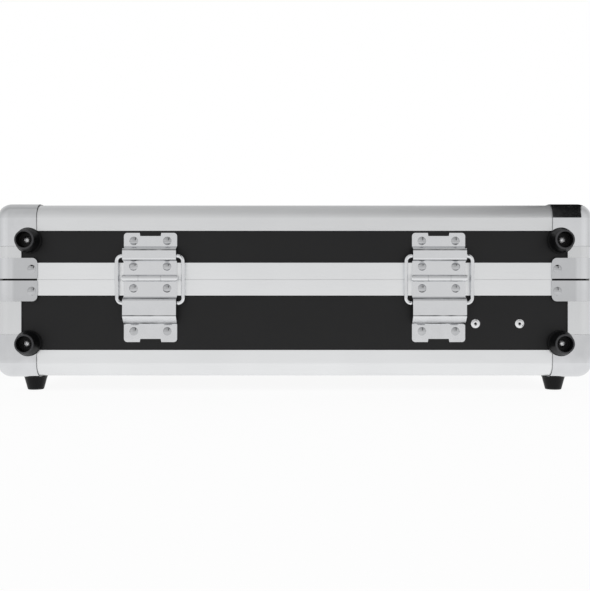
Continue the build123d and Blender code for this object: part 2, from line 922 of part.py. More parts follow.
# Hinge leaves: one pressed strip each, with a tunnel that holds a bar of the stay ring
def leaf(side, pin_level, path, end_z, rivet_levels, centre_knuckle):
    """path is the strip's underside, from the pin to the free end, as (standoff, height)."""
    away = 1 if end_z > pin_level else -1
    across = section_plane(rear, side * hinge_offset)
    outer_length = (hinge_width - knuckle_centre_length) / 2 - knuckle_gap
    outer_middle = (hinge_width - outer_length) / 2
    own = [0.0] if centre_knuckle else [-outer_middle, outer_middle]
    own_length = knuckle_centre_length if centre_knuckle else outer_length
    other = [-outer_middle, outer_middle] if centre_knuckle else [0.0]
    other_length = outer_length if centre_knuckle else knuckle_centre_length
    relief = knuckle_radius + knuckle_relief
    with BuildPart() as strip:
        with BuildSketch(across):
            with BuildLine():
                FilletPolyline(*path, radius=leaf_bend_radius)
                offset(amount=leaf_thickness, side=Side.RIGHT if away > 0 else Side.LEFT)
            make_face()
        extrude(amount=hinge_width / 2, both=True)
        corners = strip.edges().filter_by(Axis.Y).group_by(Axis.Z)[-1 if away > 0 else 0]
        fillet(corners, leaf_corner_radius)
        with BuildSketch(rear.offset(leaf_thickness)):
            with Locations((side * hinge_offset, end_z)):
                Trapezoid(
                    leaf_notch_width,
                    2 * leaf_notch_depth,
                    leaf_notch_angle,
                    rotation=180 if away > 0 else 0,
                )
        extrude(amount=-4 * leaf_thickness, mode=Mode.SUBTRACT)
        for middle_x in other:
            with BuildSketch(section_plane(rear, side * hinge_offset + middle_x)):
                with Locations((pin_standoff, pin_level)):
                    Circle(relief)
                with Locations((0, pin_level - away * relief / 2)):
                    Rectangle(4 * leaf_thickness, relief)
            extrude(
                amount=other_length / 2 + knuckle_gap, both=True, mode=Mode.SUBTRACT
            )
        for middle_x in own:
            with BuildSketch(section_plane(rear, side * hinge_offset + middle_x)):
                with Locations((pin_standoff, pin_level)):
                    Circle(knuckle_radius)
            extrude(amount=own_length / 2, both=True)
        with BuildSketch(across):
            with Locations((pin_standoff, pin_level)):
                Circle(pin_radius + pin_clearance)
        extrude(amount=hinge_width, both=True, mode=Mode.SUBTRACT)
        with BuildSketch(rear.offset(leaf_thickness)):
            for level in rivet_levels:
                for column in (-leaf_rivet_offset, leaf_rivet_offset):
                    with Locations((side * hinge_offset + column, level)):
                        Circle(rivet_hole)
        extrude(amount=-4 * leaf_thickness, mode=Mode.SUBTRACT)
    return strip.part


lid_path = [
    (0, pin_z),
    (0, lid_tunnel_start - lid_tunnel_near_slope),
    (tunnel_ceiling, lid_tunnel_start),
    (tunnel_ceiling, lid_tunnel_end),
    (-flange_thickness, lid_slope_end),
    (-flange_thickness, lid_leaf_end),
]
base_path = [
    (0, pin_z),
    (0, base_tunnel_start + tunnel_slope),
    (tunnel_ceiling, base_tunnel_start),
    (tunnel_ceiling, base_tunnel_end),
    (-flange_thickness, base_slope_end),
    (-flange_thickness, base_leaf_end),
]
with BuildPart() as hinge_pin:
    Cylinder(pin_radius, hinge_width, rotation=(0, 90, 0))
    for end in (-1, 1):
        with Locations((end * (hinge_width / 2 + pin_head_height / 2), 0, 0)):
            Cylinder(pin_head_radius, pin_head_height, rotation=(0, 90, 0))


# Stay ring: round wire bent to a closed rectangle, its two long bars captive in the tunnels
def stay_ring(side):
    upper = Vector(side * hinge_offset, rear_y - ring_upper_standoff, pin_z + ring_upper_rise)
    lower = Vector(side * hinge_offset, rear_y - ring_lower_standoff, pin_z - ring_lower_drop)
    span = (upper - lower).length
    plane = Plane(
        origin=(upper + lower) / 2,
        x_dir=(1, 0, 0),
        z_dir=Vector(1, 0, 0).cross((upper - lower).normalized()),
    )
    half_width = ring_outer_width / 2 - ring_wire_radius
    half_span = span / 2
    with BuildPart() as ring:
        with BuildLine(plane) as route:
            FilletPolyline(
                (half_width, half_span),
                (half_width, -half_span),
                (-half_width, -half_span),
                (-half_width, half_span),
                radius=ring_bend_radius,
                close=True,
            )
        with BuildSketch(Plane(origin=route.line @ 0, z_dir=route.line % 0)):
            Circle(ring_wire_radius)
        sweep()
    return ring.part


for side, word in ((-1, "left"), (1, "right")):
    lid_leaf = leaf(
        side, pin_z, lid_path, lid_leaf_end, (lid_inner_rivet_z, lid_outer_rivet_z), True
    )
    base_leaf = leaf(
        side, pin_z, base_path, base_leaf_end, (base_inner_rivet_z, base_outer_rivet_z), False
    )
    save(lid_leaf, f"hinge_lid_leaf_{word}")
    save(base_leaf, f"hinge_base_leaf_{word}")
    pin_place = Location((side * hinge_offset, rear_y - pin_standoff, pin_z))
    save(group_of([(hinge_pin.part, [pin_place])]), f"hinge_pin_{word}")
    save(stay_ring(side), f"stay_ring_{word}")

outer_flat = leaf_thickness - flange_thickness
for body, inner_z, outer_z in (
    ("base", base_inner_rivet_z, base_outer_rivet_z),
    ("lid", lid_inner_rivet_z, lid_outer_rivet_z),
):
    inner_points = [(x, inner_z) for x in hinge_columns]
    outer_points = [(x, outer_z) for x in hinge_columns]
    save(
        group_of(
            [
                (flange_fastener(leaf_thickness), on_wall(rear, inner_points, leaf_thickness)),
                (flange_fastener(outer_flat), on_wall(rear, outer_points, outer_flat)),
            ]
        ),
        f"hinge_{body}_rivets",
    )


# Two blind rivets through the rear panel and the strip that backs them inside
tail_start = panel_thickness + strip_thickness + shank_clearance
tail_end = panel_thickness + strip_thickness + panel_rivet_tail_length
with BuildPart() as blind_rivet:
    with BuildSketch(Plane.XZ):
        with BuildLine():
            Polyline(
                (panel_rivet_bore_radius, -tail_end),
                (rivet_radius + panel_rivet_tail_flare, -tail_end),
                (rivet_radius + panel_rivet_tail_flare, -tail_start),
                (rivet_radius, -tail_start),
                (rivet_radius, 0),
                (panel_rivet_head_radius, 0),
                (panel_rivet_head_radius, panel_rivet_rim),
                (panel_rivet_bore_radius + panel_rivet_crown, panel_rivet_head_height),
                (panel_rivet_bore_radius, panel_rivet_head_height),
                close=True,
            )
        make_face()
    revolve(axis=Axis.Z)
save(
    group_of([(blind_rivet.part, on_wall(rear, panel_rivet_places, -flange_thickness))]),
    "rear_panel_rivets",
)
strip_middle = sum(panel_rivet_offsets) / 2
strip_length = panel_rivet_offsets[1] - panel_rivet_offsets[0] + 2 * strip_end
with BuildPart() as rear_backing_strip:
    with BuildSketch(rear.offset(-panel_depth)):
        with Locations((strip_middle, base_z + panel_rivet_rise)):
            SlotOverall(strip_length, strip_width)
        with Locations(*panel_rivet_places):
            Circle(rivet_hole, mode=Mode.SUBTRACT)
    extrude(amount=-strip_thickness)
save(rear_backing_strip.part, "rear_backing_strip")


# Turn latches. The pieces are drawn released: the claw is up and out, clear of the catch.
# The claw moves in proportion to the turn, so its window has room for the eccentric's lag
window_height = 2 * (
    eccentric_radius + eccentric_lag * eccentric_offset + eccentric_running_gap
)
window_width = 2 * (eccentric_radius + eccentric_offset + 2 * eccentric_running_gap)
claw_middle_z = latch_z + eccentric_offset
claw_body_height = window_height + 2 * claw_window_margin
hook_inner = catch_sheet + hook_plate_gap + claw_outward
hook_height = claw_thickness / cos(radians(hook_angle))
eccentric_low = claw_latched - eccentric_end_gap
eccentric_high = claw_released + claw_thickness + eccentric_running_gap
wing_half_length = wing_lug_width / 2 + wing_lug_gap + wing_knuckle_length
wing_neck = 2 * wing_knuckle_radius + wing_neck_overlap


def latch_plan(side):
    """A level plane through the latch's spindle: local y inward from the profile face."""
    return Plane(
        origin=(side * latch_offset, front_y, latch_z), x_dir=(-1, 0, 0), z_dir=(0, 0, 1)
    )


def latch_front(side, standoff):
    """A plane parallel to the front wall: local zero on the spindle's axis, local y up."""
    return Plane(
        origin=(side * latch_offset, front_y + standoff, latch_z),
        x_dir=(-1, 0, 0),
        z_dir=(0, 1, 0),
    )


def latch_section(side):
    """A plane across the latch: local x outward from the profile face, local y up."""
    return Plane(
        origin=(side * latch_offset, front_y, 0), x_dir=(0, 1, 0), z_dir=(1, 0, 0)
    )


def latch_housing(side):
    """A hat section, open above and below for the claw, bored for the spindle."""
    half = claw_body_width / 2 + housing_side_gap + latch_sheet
    ear_face = flange_thickness - latch_sheet
    with BuildPart() as housing:
        with BuildSketch(latch_plan(side)):
            with BuildLine():
                FilletPolyline(
                    (-half - housing_ear, ear_face),
                    (-half, ear_face),
                    (-half, -housing_face),
                    (half, -housing_face),
                    (half, ear_face),
                    (half + housing_ear, ear_face),
                    radius=latch_bend_radius,
                )
                offset(amount=latch_sheet, side=Side.LEFT)
            make_face()
        extrude(amount=housing_height / 2, both=True)
        with BuildSketch(latch_front(side, housing_face)):
            Circle(spindle_radius + spindle_clearance)
        extrude(amount=-2 * latch_sheet, mode=Mode.SUBTRACT)
        with BuildSketch(latch_front(side, latch_sheet)):
            with GridLocations(2 * housing_rivet_offset, 2 * housing_rivet_rise, 2, 2):
                Circle(rivet_hole)
        extrude(amount=-4 * latch_sheet, mode=Mode.SUBTRACT)
    return housing.part


def latch_spindle(side):
    """Tail, eccentric, journal, head and the cross pin that carries the wing."""
    with BuildPart() as spindle:
        with BuildSketch(latch_front(side, spindle_tail_gap - flange_thickness)):
            Circle(spindle_tail_radius)
        extrude(amount=eccentric_low + flange_thickness - spindle_tail_gap)
        with BuildSketch(latch_front(side, eccentric_low)):
            with Locations((0, eccentric_offset)):
                Circle(eccentric_radius)
        extrude(amount=eccentric_high - eccentric_low)
        with BuildSketch(latch_front(side, eccentric_high)):
            Circle(spindle_radius)
        extrude(amount=head_start - eccentric_high)
        with BuildSketch(latch_front(side, head_start)):
            Circle(spindle_head_radius)
        extrude(amount=spindle_head_height)
        with BuildSketch(latch_section(side)):
            with Locations((wing_pin_standoff, latch_z)):
                Circle(wing_knuckle_radius)
            with Locations(((head_face + wing_pin_standoff) / 2, latch_z)):
                Rectangle(wing_pin_standoff - head_face, 2 * wing_knuckle_radius)
        extrude(amount=wing_lug_width / 2, both=True)
        with BuildSketch(latch_section(side)):
            with Locations((wing_pin_standoff, latch_z)):
                Circle(wing_pin_radius)
        extrude(amount=wing_half_length, both=True)
    return spindle.part


def hook_underside(standoff):
    """Height of the hook's slanting underside, which clears the top of the catch's lip."""
    lip_place = lip_inner + claw_outward
    rise = (standoff - lip_place) * tan(radians(hook_angle))
    return lip_top_z + claw_lift + hook_lip_gap + rise


def latch_claw(side):
    """A plate with the eccentric's window, a strip up across the rim and a hook at its top."""
    strip_low = claw_middle_z + claw_body_height / 2
    strip_high = hook_underside(claw_released)
    claw_outer = claw_released + claw_thickness
    with BuildPart() as claw:
        with BuildSketch(latch_front(side, claw_released)) as plate:
            with Locations((0, claw_middle_z - latch_z)):
                Rectangle(claw_body_width, claw_body_height)
            with Locations((0, (strip_low + strip_high) / 2 - latch_z)):
                Rectangle(claw_strip_width, strip_high - strip_low)
            fillet(plate.vertices().group_by(Axis.Y)[0], claw_corner_radius)
            with Locations((0, claw_middle_z - latch_z)):
                Rectangle(window_width, window_height, mode=Mode.SUBTRACT)
        extrude(amount=claw_thickness)
        with BuildSketch(latch_section(side)):
            with BuildLine():
                Polyline(
                    (claw_outer, strip_high),
                    (claw_outer, hook_underside(claw_outer) + hook_height),
                    (hook_inner, hook_underside(hook_inner) + hook_height),
                    (hook_inner, hook_underside(hook_inner)),
                    (claw_released, strip_high),
                    close=True,
                )
            make_face()
        extrude(amount=claw_strip_width / 2, both=True)
        bends = claw.edges().filter_by(Axis.X).group_by(Axis.Z)[-1]
        fillet(bends, hook_bend_radius)
    return claw.part


def latch_wing(side):
    """Two lobes that fold down flat over the housing, with a knuckle each side of the lug."""
    knuckle_start = wing_lug_width / 2 + wing_lug_gap
    with BuildPart() as wing:
        with BuildSketch(latch_front(side, wing_pin_standoff - wing_knuckle_radius)) as face:
            with Locations((0, -wing_reach / 2)):
                Rectangle(2 * wing_half_length, wing_reach - 2 * wing_knuckle_radius)
            for end in (-1, 1):
                with Locations((end * wing_lobe_offset, wing_lobe_radius - wing_reach)):
                    Circle(wing_lobe_radius)
                with Locations((end * (knuckle_start + wing_half_length) / 2, -wing_neck / 2)):
                    Rectangle(wing_knuckle_length, wing_neck)
        extrude(amount=wing_plate)
        with BuildSketch(latch_section(side)):
            with Locations((wing_pin_standoff, latch_z)):
                Circle(wing_knuckle_radius)
        extrude(amount=wing_half_length, both=True)
        with BuildSketch(latch_section(side)):
            with Locations((wing_pin_standoff, latch_z)):
                Circle(wing_knuckle_radius + wing_plate_gap)
        extrude(amount=knuckle_start, both=True, mode=Mode.SUBTRACT)
        with BuildSketch(latch_section(side)):
            with Locations((wing_pin_standoff, latch_z)):
                Circle(wing_pin_radius + pin_clearance)
        extrude(amount=wing_half_length + overrun, both=True, mode=Mode.SUBTRACT)
    return wing.part


for side, word in ((-1, "left"), (1, "right")):
    save(latch_housing(side), f"latch_housing_{word}")
    save(latch_spindle(side), f"latch_spindle_{word}")
    save(latch_claw(side), f"latch_claw_{word}")
    save(latch_wing(side), f"latch_wing_{word}")
ear_standoff = latch_sheet - flange_thickness
housing_rivet = flange_fastener(ear_standoff, small_head_radius, small_head_height)
save(
    group_of([(housing_rivet, on_wall(front, housing_rivets, ear_standoff))]),
    "latch_housing_rivets",
)


# Catches: a plate on the lid's rim with its lower edge flared out and up to a lip
with BuildPart() as latch_catches:
    for side in (-1, 1):
        with BuildSketch(front):
            with Locations((side * latch_offset, catch_z + catch_height / 2)):
                RectangleRounded(catch_width, catch_height, catch_corner_radius)
        extrude(amount=catch_sheet)
        with BuildSketch(latch_section(side)):
            with BuildLine():
                Polyline(
                    (0, catch_z),
                    (catch_sheet, catch_z),
                    (lip_outer, lip_top_z - lip_skew),
                    (lip_inner, lip_top_z),
                    (catch_sheet, lip_top_z - catch_pocket),
                    (0, lip_top_z - catch_pocket),
                    close=True,
                )
            make_face()
        extrude(amount=catch_lip_width / 2, both=True)
    with BuildSketch(front):
        with Locations(*catch_rivets):
            Circle(rivet_hole)
    extrude(amount=2 * catch_sheet, mode=Mode.SUBTRACT)
save(latch_catches.part, "latch_catches")
catch_rivet = flange_fastener(catch_sheet, small_head_radius, small_head_height)
save(group_of([(catch_rivet, on_wall(front, catch_rivets, catch_sheet))]), "latch_catch_rivets")


# Handle: a bent bar that swings in two riveted brackets, with a moulded grip on it
handle_standoff = grip_flange_gap + grip_radius
bar_end = bracket_lug_start + bracket_lug_width - handle_end_inset
bore = handle_bar_radius + pin_clearance
handle_plane = front.offset(handle_standoff)
with BuildPart() as handle_bail:
    with BuildLine(handle_plane) as bail_route:
        FilletPolyline(
            (-bar_end, pivot_z),
            (-handle_half_width, pivot_z),
            (-handle_half_width, pivot_z - handle_drop),
            (handle_half_width, pivot_z - handle_drop),
            (handle_half_width, pivot_z),
            (bar_end, pivot_z),
            radius=[
                handle_pivot_bend_radius,
                handle_bend_radius,
                handle_bend_radius,
                handle_pivot_bend_radius,
            ],
        )
    with BuildSketch(Plane(origin=bail_route.line @ 0, z_dir=bail_route.line % 0)):
        Circle(handle_bar_radius)
    sweep()
save(handle_bail.part, "handle_bail")

grip_axis = Plane(
    origin=(0, front_y + handle_standoff, pivot_z - handle_drop), x_dir=(1, 0, 0), z_dir=(0, -1, 0)
)
with BuildPart() as handle_grip:
    with BuildSketch(grip_axis):
        with BuildLine():
            Polyline(
                (grip_half_length, grip_end_radius),
                (grip_half_length, bore),
                (-grip_half_length, bore),
                (-grip_half_length, grip_end_radius),
            )
            ThreePointArc(
                (-grip_half_length, grip_end_radius),
                (0, grip_radius),
                (grip_half_length, grip_end_radius),
            )
        make_face()
    revolve(axis=Axis(grip_axis.origin, (1, 0, 0)))
save(handle_grip.part, "handle_grip")

with BuildPart() as handle_brackets:
    for side in (-1, 1):
        plate_middle = side * (bracket_lug_start + bracket_plate_length / 2)
        with BuildSketch(front.offset(-flange_thickness)):
            with Locations((plate_middle, pivot_z)):
                RectangleRounded(
                    bracket_plate_length, bracket_plate_height, bracket_corner_radius
                )
        extrude(amount=bracket_sheet)
        with BuildSketch(section_plane(front, side * (bracket_lug_start + bracket_lug_width / 2))):
            with Locations((handle_standoff, pivot_z)):
                Circle(bore + bracket_lug_wall)
            with Locations(((handle_standoff - flange_thickness) / 2, pivot_z)):
                Rectangle(handle_standoff + flange_thickness, 2 * (bore + bracket_lug_wall))
        extrude(amount=bracket_lug_width / 2, both=True)
    with BuildSketch(section_plane(front)):
        with Locations((handle_standoff, pivot_z)):
            Circle(bore)
    extrude(amount=case_width / 2, both=True, mode=Mode.SUBTRACT)
    with BuildSketch(front.offset(-flange_thickness)):
        with Locations(*bracket_rivets):
            Circle(rivet_hole)
    extrude(amount=2 * bracket_sheet, mode=Mode.SUBTRACT)
save(handle_brackets.part, "handle_brackets")
bracket_face = bracket_sheet - flange_thickness
save(
    group_of([(flange_fastener(bracket_face), on_wall(front, bracket_rivets, bracket_face))]),
    "handle_bracket_rivets",
)


# Rack rails: steel angles screwed to the side walls, the hole rows of a 19-inch rack upwards
def rack_rail(side):
    rail_inner = rail_outer - rail_flange_width
    across = Plane(origin=(0, middle_y, 0), x_dir=(side, 0, 0), z_dir=(0, -side, 0))
    with BuildPart() as rail:
        with BuildSketch(across) as angle:
            with BuildLine():
                Polyline(
                    (rail_inner, rail_top_z),
                    (rail_outer, rail_top_z),
                    (rail_outer, rail_top_z - rail_leg_height),
                    (rail_outer - rail_thickness, rail_top_z - rail_leg_height),
                    (rail_outer - rail_thickness, rail_top_z - rail_thickness),
                    (rail_inner, rail_top_z - rail_thickness),
                    close=True,
                )
            make_face()
            corner = angle.vertices().group_by(Axis.Y)[-1].sort_by(Axis.X)[-1]
            fillet(corner, rail_bend_radius)
        extrude(amount=rail_length / 2, both=True)
        rail_start = middle_y - rail_length / 2
        hole_rows = [unit * rack_unit + row for unit in range(rack_units) for row in rack_hole_rows]
        with BuildSketch(Plane.XY.offset(rail_top_z)):
            with Locations(*[(side * rack_hole_spacing / 2, rail_start + row) for row in hole_rows]):
                Circle(rack_hole_radius)
        extrude(amount=-2 * rail_thickness, mode=Mode.SUBTRACT)
        with BuildSketch(right if side > 0 else left):
            with Locations(*rail_screw_places):
                Circle(rail_screw_radius + shank_clearance)
        extrude(amount=-panel_depth - 2 * rail_thickness, mode=Mode.SUBTRACT)
    return rail.part


for side, word in ((-1, "left"), (1, "right")):
    save(rack_rail(side), f"rack_rail_{word}")

rail_screw = domed_fastener(
    small_head_radius, small_head_height, rail_screw_radius, rail_thickness + rail_screw_depth
)
screw_places = []
for wall in (left, right):
    leg_face = Plane(
        origin=wall.origin - wall.z_dir * (panel_depth + rail_wall_gap + rail_thickness),
        x_dir=wall.x_dir * -1,
        z_dir=wall.z_dir * -1,
    )
    screw_places += on_wall(leg_face, rail_screw_places, 0)
save(group_of([(rail_screw, screw_places)]), "rack_rail_screws")


# Foam pads bonded to the floor and to the lid's top
def foam_pad(low, thickness):
    with BuildPart() as pad:
        inset = 2 * (edge_flange + foam_side_gap)
        with BuildSketch(Plane.XY.offset(low)):
            with Locations((0, middle_y)):
                RectangleRounded(case_width - inset, case_depth - inset, foam_edge_radius)
        extrude(amount=thickness)
    return pad.part


base_foam_low = base_z + panel_depth + foam_bond_gap
lid_foam_low = top_z - panel_depth - foam_bond_gap - lid_foam_thickness
save(foam_pad(base_foam_low, base_foam_thickness), "base_foam")
save(foam_pad(lid_foam_low, lid_foam_thickness), "lid_foam")
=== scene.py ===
# %% [markdown]
# # A mixer case, seen from its hinge side
#
# The object is a shallow transport case for a rack-mount mixer. Black laminated plywood panels sit
# in rounded aluminium profiles, pressed steel caps cover the corners, and two hinges with wire stay
# rings join the lid to the base.
#
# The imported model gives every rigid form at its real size. One could model the case a second time
# in Blender, but the two would drift apart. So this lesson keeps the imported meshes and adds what
# the eye needs on top of them: finishes, smooth small parts, foam, a stage and a camera.

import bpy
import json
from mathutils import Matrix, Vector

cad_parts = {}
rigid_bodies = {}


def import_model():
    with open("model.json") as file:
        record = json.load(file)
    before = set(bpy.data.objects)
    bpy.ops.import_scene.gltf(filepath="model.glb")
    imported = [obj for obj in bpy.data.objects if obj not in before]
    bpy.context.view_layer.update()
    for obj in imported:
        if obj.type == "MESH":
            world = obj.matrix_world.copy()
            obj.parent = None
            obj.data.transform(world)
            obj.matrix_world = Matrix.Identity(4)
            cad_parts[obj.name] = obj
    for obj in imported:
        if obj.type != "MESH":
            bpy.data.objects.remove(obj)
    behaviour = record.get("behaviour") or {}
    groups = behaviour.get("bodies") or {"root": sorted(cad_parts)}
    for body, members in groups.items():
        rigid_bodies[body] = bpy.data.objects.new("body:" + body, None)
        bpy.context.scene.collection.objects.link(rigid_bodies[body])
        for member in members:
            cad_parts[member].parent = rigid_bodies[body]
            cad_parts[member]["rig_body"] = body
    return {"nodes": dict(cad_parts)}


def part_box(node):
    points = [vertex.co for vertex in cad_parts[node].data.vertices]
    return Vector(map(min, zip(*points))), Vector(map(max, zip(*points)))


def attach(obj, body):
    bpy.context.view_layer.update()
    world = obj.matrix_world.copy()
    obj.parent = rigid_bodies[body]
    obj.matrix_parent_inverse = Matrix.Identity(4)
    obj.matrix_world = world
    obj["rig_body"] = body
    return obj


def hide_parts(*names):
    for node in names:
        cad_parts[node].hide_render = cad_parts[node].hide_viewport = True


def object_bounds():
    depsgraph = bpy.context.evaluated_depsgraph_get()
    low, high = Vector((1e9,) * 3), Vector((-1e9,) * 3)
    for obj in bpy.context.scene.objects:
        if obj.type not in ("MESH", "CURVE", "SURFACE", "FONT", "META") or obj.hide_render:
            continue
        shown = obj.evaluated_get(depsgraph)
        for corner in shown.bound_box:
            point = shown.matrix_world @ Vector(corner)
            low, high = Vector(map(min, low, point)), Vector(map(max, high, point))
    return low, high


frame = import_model()
cad_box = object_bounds()

# %% [markdown]
# ## Units, colours and nodes
#
# Blender works in metres here, and a case is drawn in millimetres, so one factor turns the one into
# the other. Colours are written as hex values, the way a picker shows them. Blender's shaders want
# them linear, and one function does that for every finish.
#
# Materials and Geometry Nodes are both trees of nodes. They could be wired by hand in an editor,
# but a script can be read and run again. One small function adds a node of any kind.

# %% Units, colours and nodes
import json
import math

import bmesh
import bpy
from mathutils import Matrix, Vector

mm = 0.001
MATH, VECTOR = "ShaderNodeMath", "ShaderNodeVectorMath"


def linear(hex_colour):
    """A hex colour as the linear red, green, blue and alpha that shaders use."""
    channels = [int(hex_colour[i:i + 2], 16) / 255 for i in (1, 3, 5)]
    return [c / 12.92 if c <= 0.04045 else ((c + 0.055) / 1.055) ** 2.4 for c in channels] + [1]


def add_node(tree, kind, inputs=(), **settings):
    """Adds one node of any kind, with its own settings and its inputs.

    Inputs go by name, by number or in order. Each is a value, a socket to link, or a node, which
    stands for its first output.
    """
    node = tree.nodes.new(kind)
    for name, value in settings.items():
        setattr(node, name, value)
    for key, value in inputs.items() if isinstance(inputs, dict) else enumerate(inputs):
        if isinstance(value, bpy.types.Node):
            value = value.outputs[0]
        if isinstance(value, bpy.types.NodeSocket):
            tree.links.new(value, node.inputs[key])
        else:
            node.inputs[key].default_value = value
    return node


print("black panel grey, linear:", round(linear("#262626")[0], 4))

# %% [markdown]
# ## Starting a finish
#
# On a real case every surface is one material with small changes over it: a little duller here, a
# little darker there. Images could carry such changes, but they have a fixed grain. So each finish
# here starts as the same surface shader with plain values, and a pattern in object space changes
# its colour or roughness a little and bends its surface. The pattern's scale comes from a real
# size: a noise with scale 1 / size has features of about that size, since one unit is a metre.

# %% A plain finish and its patterns
noise_low, noise_high = 0.3, 0.7  # nearly all of a noise lies between these two


def start_finish(name, colour, metallic, roughness):
    """A material with one surface shader. Returns the material, its tree and the shader."""
    material = bpy.data.materials.new(name)
    material.use_nodes = True
    tree = material.node_tree
    shader = tree.nodes["Principled BSDF"]
    shader.inputs["Base Color"].default_value = linear(colour)
    shader.inputs["Metallic"].default_value = metallic
    shader.inputs["Roughness"].default_value = roughness
    return material, tree, shader


def noise(tree, size, detail=2.0, stretch=(1, 1, 1), roughness=0.5):
    """Noise with features of about that size in millimetres, longer where stretch is below 1."""
    place = add_node(tree, "ShaderNodeTexCoord").outputs["Object"]
    stretched = add_node(tree, "ShaderNodeMapping", {"Vector": place, "Scale": stretch})
    return add_node(tree, "ShaderNodeTexNoise", {
        "Vector": stretched, "Scale": 1 / (size * mm), "Detail": detail,
        "Roughness": roughness}).outputs["Fac"]


def vary(tree, shader, socket, pattern, low, high):
    """Sends a pattern to a number of the shader, between two values."""
    ranged = add_node(tree, "ShaderNodeMapRange", {
        "Value": pattern, "From Min": noise_low, "From Max": noise_high,
        "To Min": low, "To Max": high})
    tree.links.new(ranged.outputs[0], shader.inputs[socket])


def paint(tree, shader, where, colour, other):
    """Changes a linear colour to another hex colour where a 0 to 1 pattern says so."""
    mixed = add_node(tree, "ShaderNodeMix", {
        "Factor": where, 6: colour, 7: linear(other)}, data_type="RGBA")
    tree.links.new(mixed.outputs[2], shader.inputs["Base Color"])
    return mixed.outputs[2]


def tint(tree, shader, pattern, dark, light):
    """Sends a pattern to the colour, between two hex colours."""
    ranged = add_node(tree, "ShaderNodeMapRange", {
        "Value": pattern, "From Min": noise_low, "From Max": noise_high})
    return paint(tree, shader, ranged, linear(dark), light)


def relief(tree, shader, height, depth, below=None):
    """Bends the surface by a pattern of that depth in millimetres."""
    inputs = {"Height": height, "Distance": depth * mm}
    if below is not None:
        inputs["Normal"] = below
    bump = add_node(tree, "ShaderNodeBump", inputs)
    tree.links.new(bump.outputs["Normal"], shader.inputs["Normal"])
    return bump.outputs["Normal"]


finishes = {}
print("noise scale for features of 45 mm:", round(1 / (45 * mm), 1))

# %% [markdown]
# ## Anodised aluminium, extruded
#
# The edge and closing profiles are extruded aluminium, satin anodised. The die leaves very fine
# lines along each length, and the oxide layer turns them into a soft sheen. One could unwrap each
# length to lay the lines along it. It is simpler to stretch a noise along X on the lengths at the
# front and the back, along Y on the side lengths and along Z on the uprights. Uprights are their
# own nodes. For the level lengths, the distance from the middle tells which pair a point is on.
# The lines of a real profile are finer than a tenth of a millimetre. They are drawn at 0.9 mm so
# that they still show. Between the upper and the lower corner braces a narrow band of the rim is
# painted near black: painted shade that stands for an open slot, which the mesh doesn't have.
# Between the upper and the lower corner braces the rim is open to a narrow
# slot where dirt and shadow gather, and the rim's finish turns dark there.

# %% Extruded aluminium
middle_y = sum(corner.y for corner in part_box("base_floor_panel")) / 2 / mm
split_level = 99.7           # height of the gap between base and lid
side_from = 235.0            # further out than this, a level length runs along Y
brace_from = (227.4, 187.4)  # where the braces begin, along X and along Y
slot_shade_half_height = 0.95
steep = 0.5                  # a normal's share along an axis that it leans 60 degrees from
line_size, line_stretch = 0.9, 0.02


def from_middle(tree):
    """A point's place, seen from the middle of the gap between base and lid."""
    place = add_node(tree, "ShaderNodeTexCoord").outputs["Object"]
    return add_node(tree, VECTOR, (place, (0, middle_y * mm, split_level * mm)),
                    operation="SUBTRACT")


def distances(tree):
    """How far a point is from that middle along X, Y and Z, whichever way."""
    away = add_node(tree, VECTOR, (from_middle(tree),), operation="ABSOLUTE")
    return add_node(tree, "ShaderNodeSeparateXYZ", (away,)).outputs


def die_lines(tree, along):
    """Fine lines that run along one axis of the case."""
    stretch = [1.0, 1.0, 1.0]
    stretch[along] = line_stretch
    return noise(tree, line_size, 3.0, stretch, 0.6)


def extruded_aluminium(name, dark, light, upright=False, painted_slot_shade=False):
    material, tree, shader = start_finish(name, light, 1.0, 0.34)
    away = distances(tree)
    if upright:
        lines = die_lines(tree, 2)
    else:
        on_a_side = add_node(tree, MATH, (away["X"], side_from * mm), operation="GREATER_THAN")
        lines = add_node(tree, "ShaderNodeMix", {
            "Factor": on_a_side, 2: die_lines(tree, 0), 3: die_lines(tree, 1)}, data_type="FLOAT")
    vary(tree, shader, "Roughness", lines, 0.30, 0.39)
    colour = tint(tree, shader, noise(tree, 60, 2.0), dark, light)
    relief(tree, shader, lines, 0.004)
    # A narrow band of the rim between the braces is painted near black, painted shade of an open
    # slot.
    if painted_slot_shade:
        normal = add_node(tree, "ShaderNodeTexCoord").outputs["Normal"]
        lean = add_node(tree, VECTOR, (normal,), operation="ABSOLUTE")
        upwards = add_node(tree, "ShaderNodeSeparateXYZ", (lean,)).outputs["Z"]
        slot = 1.0
        for value, test, limit in (
            (away["X"], "GREATER_THAN", brace_from[0] * mm),
            (away["Y"], "GREATER_THAN", brace_from[1] * mm),
            (away["Z"], "LESS_THAN", slot_shade_half_height * mm),
            (upwards, "LESS_THAN", steep),
        ):
            passed = add_node(tree, MATH, (value, limit), operation=test)
            slot = add_node(tree, MATH, (slot, passed), operation="MULTIPLY")
        paint(tree, shader, slot, colour, "#1A1A1B")
    finishes[name] = material


extruded_aluminium("anodised_aluminium_level", "#EAEBEC", "#EEEFF0")
# The uprights share the level lengths' extrusion, but their copy of the finish is a little darker:
# painted shade for how they are lit.
extruded_aluminium("anodised_aluminium_upright_shaded", "#E0E1E2", "#E4E5E6", upright=True)
extruded_aluminium("anodised_aluminium_rim", "#F1F2F3", "#F5F6F7", painted_slot_shade=True)
print("finishes:", sorted(finishes))

# %% [markdown]
# ## Black laminated plywood
#
# The panels are birch plywood with a hot-pressed black laminate. It has a fine, even pebble of
# about a millimetre that breaks up reflections, so the panel reads as deep black with a soft grey
# sheen. Dust and handling leave slightly duller clouds. The pebble could be real bumps in the mesh,
# but it is a few hundredths of a millimetre high, and bump in the finish is enough for that.

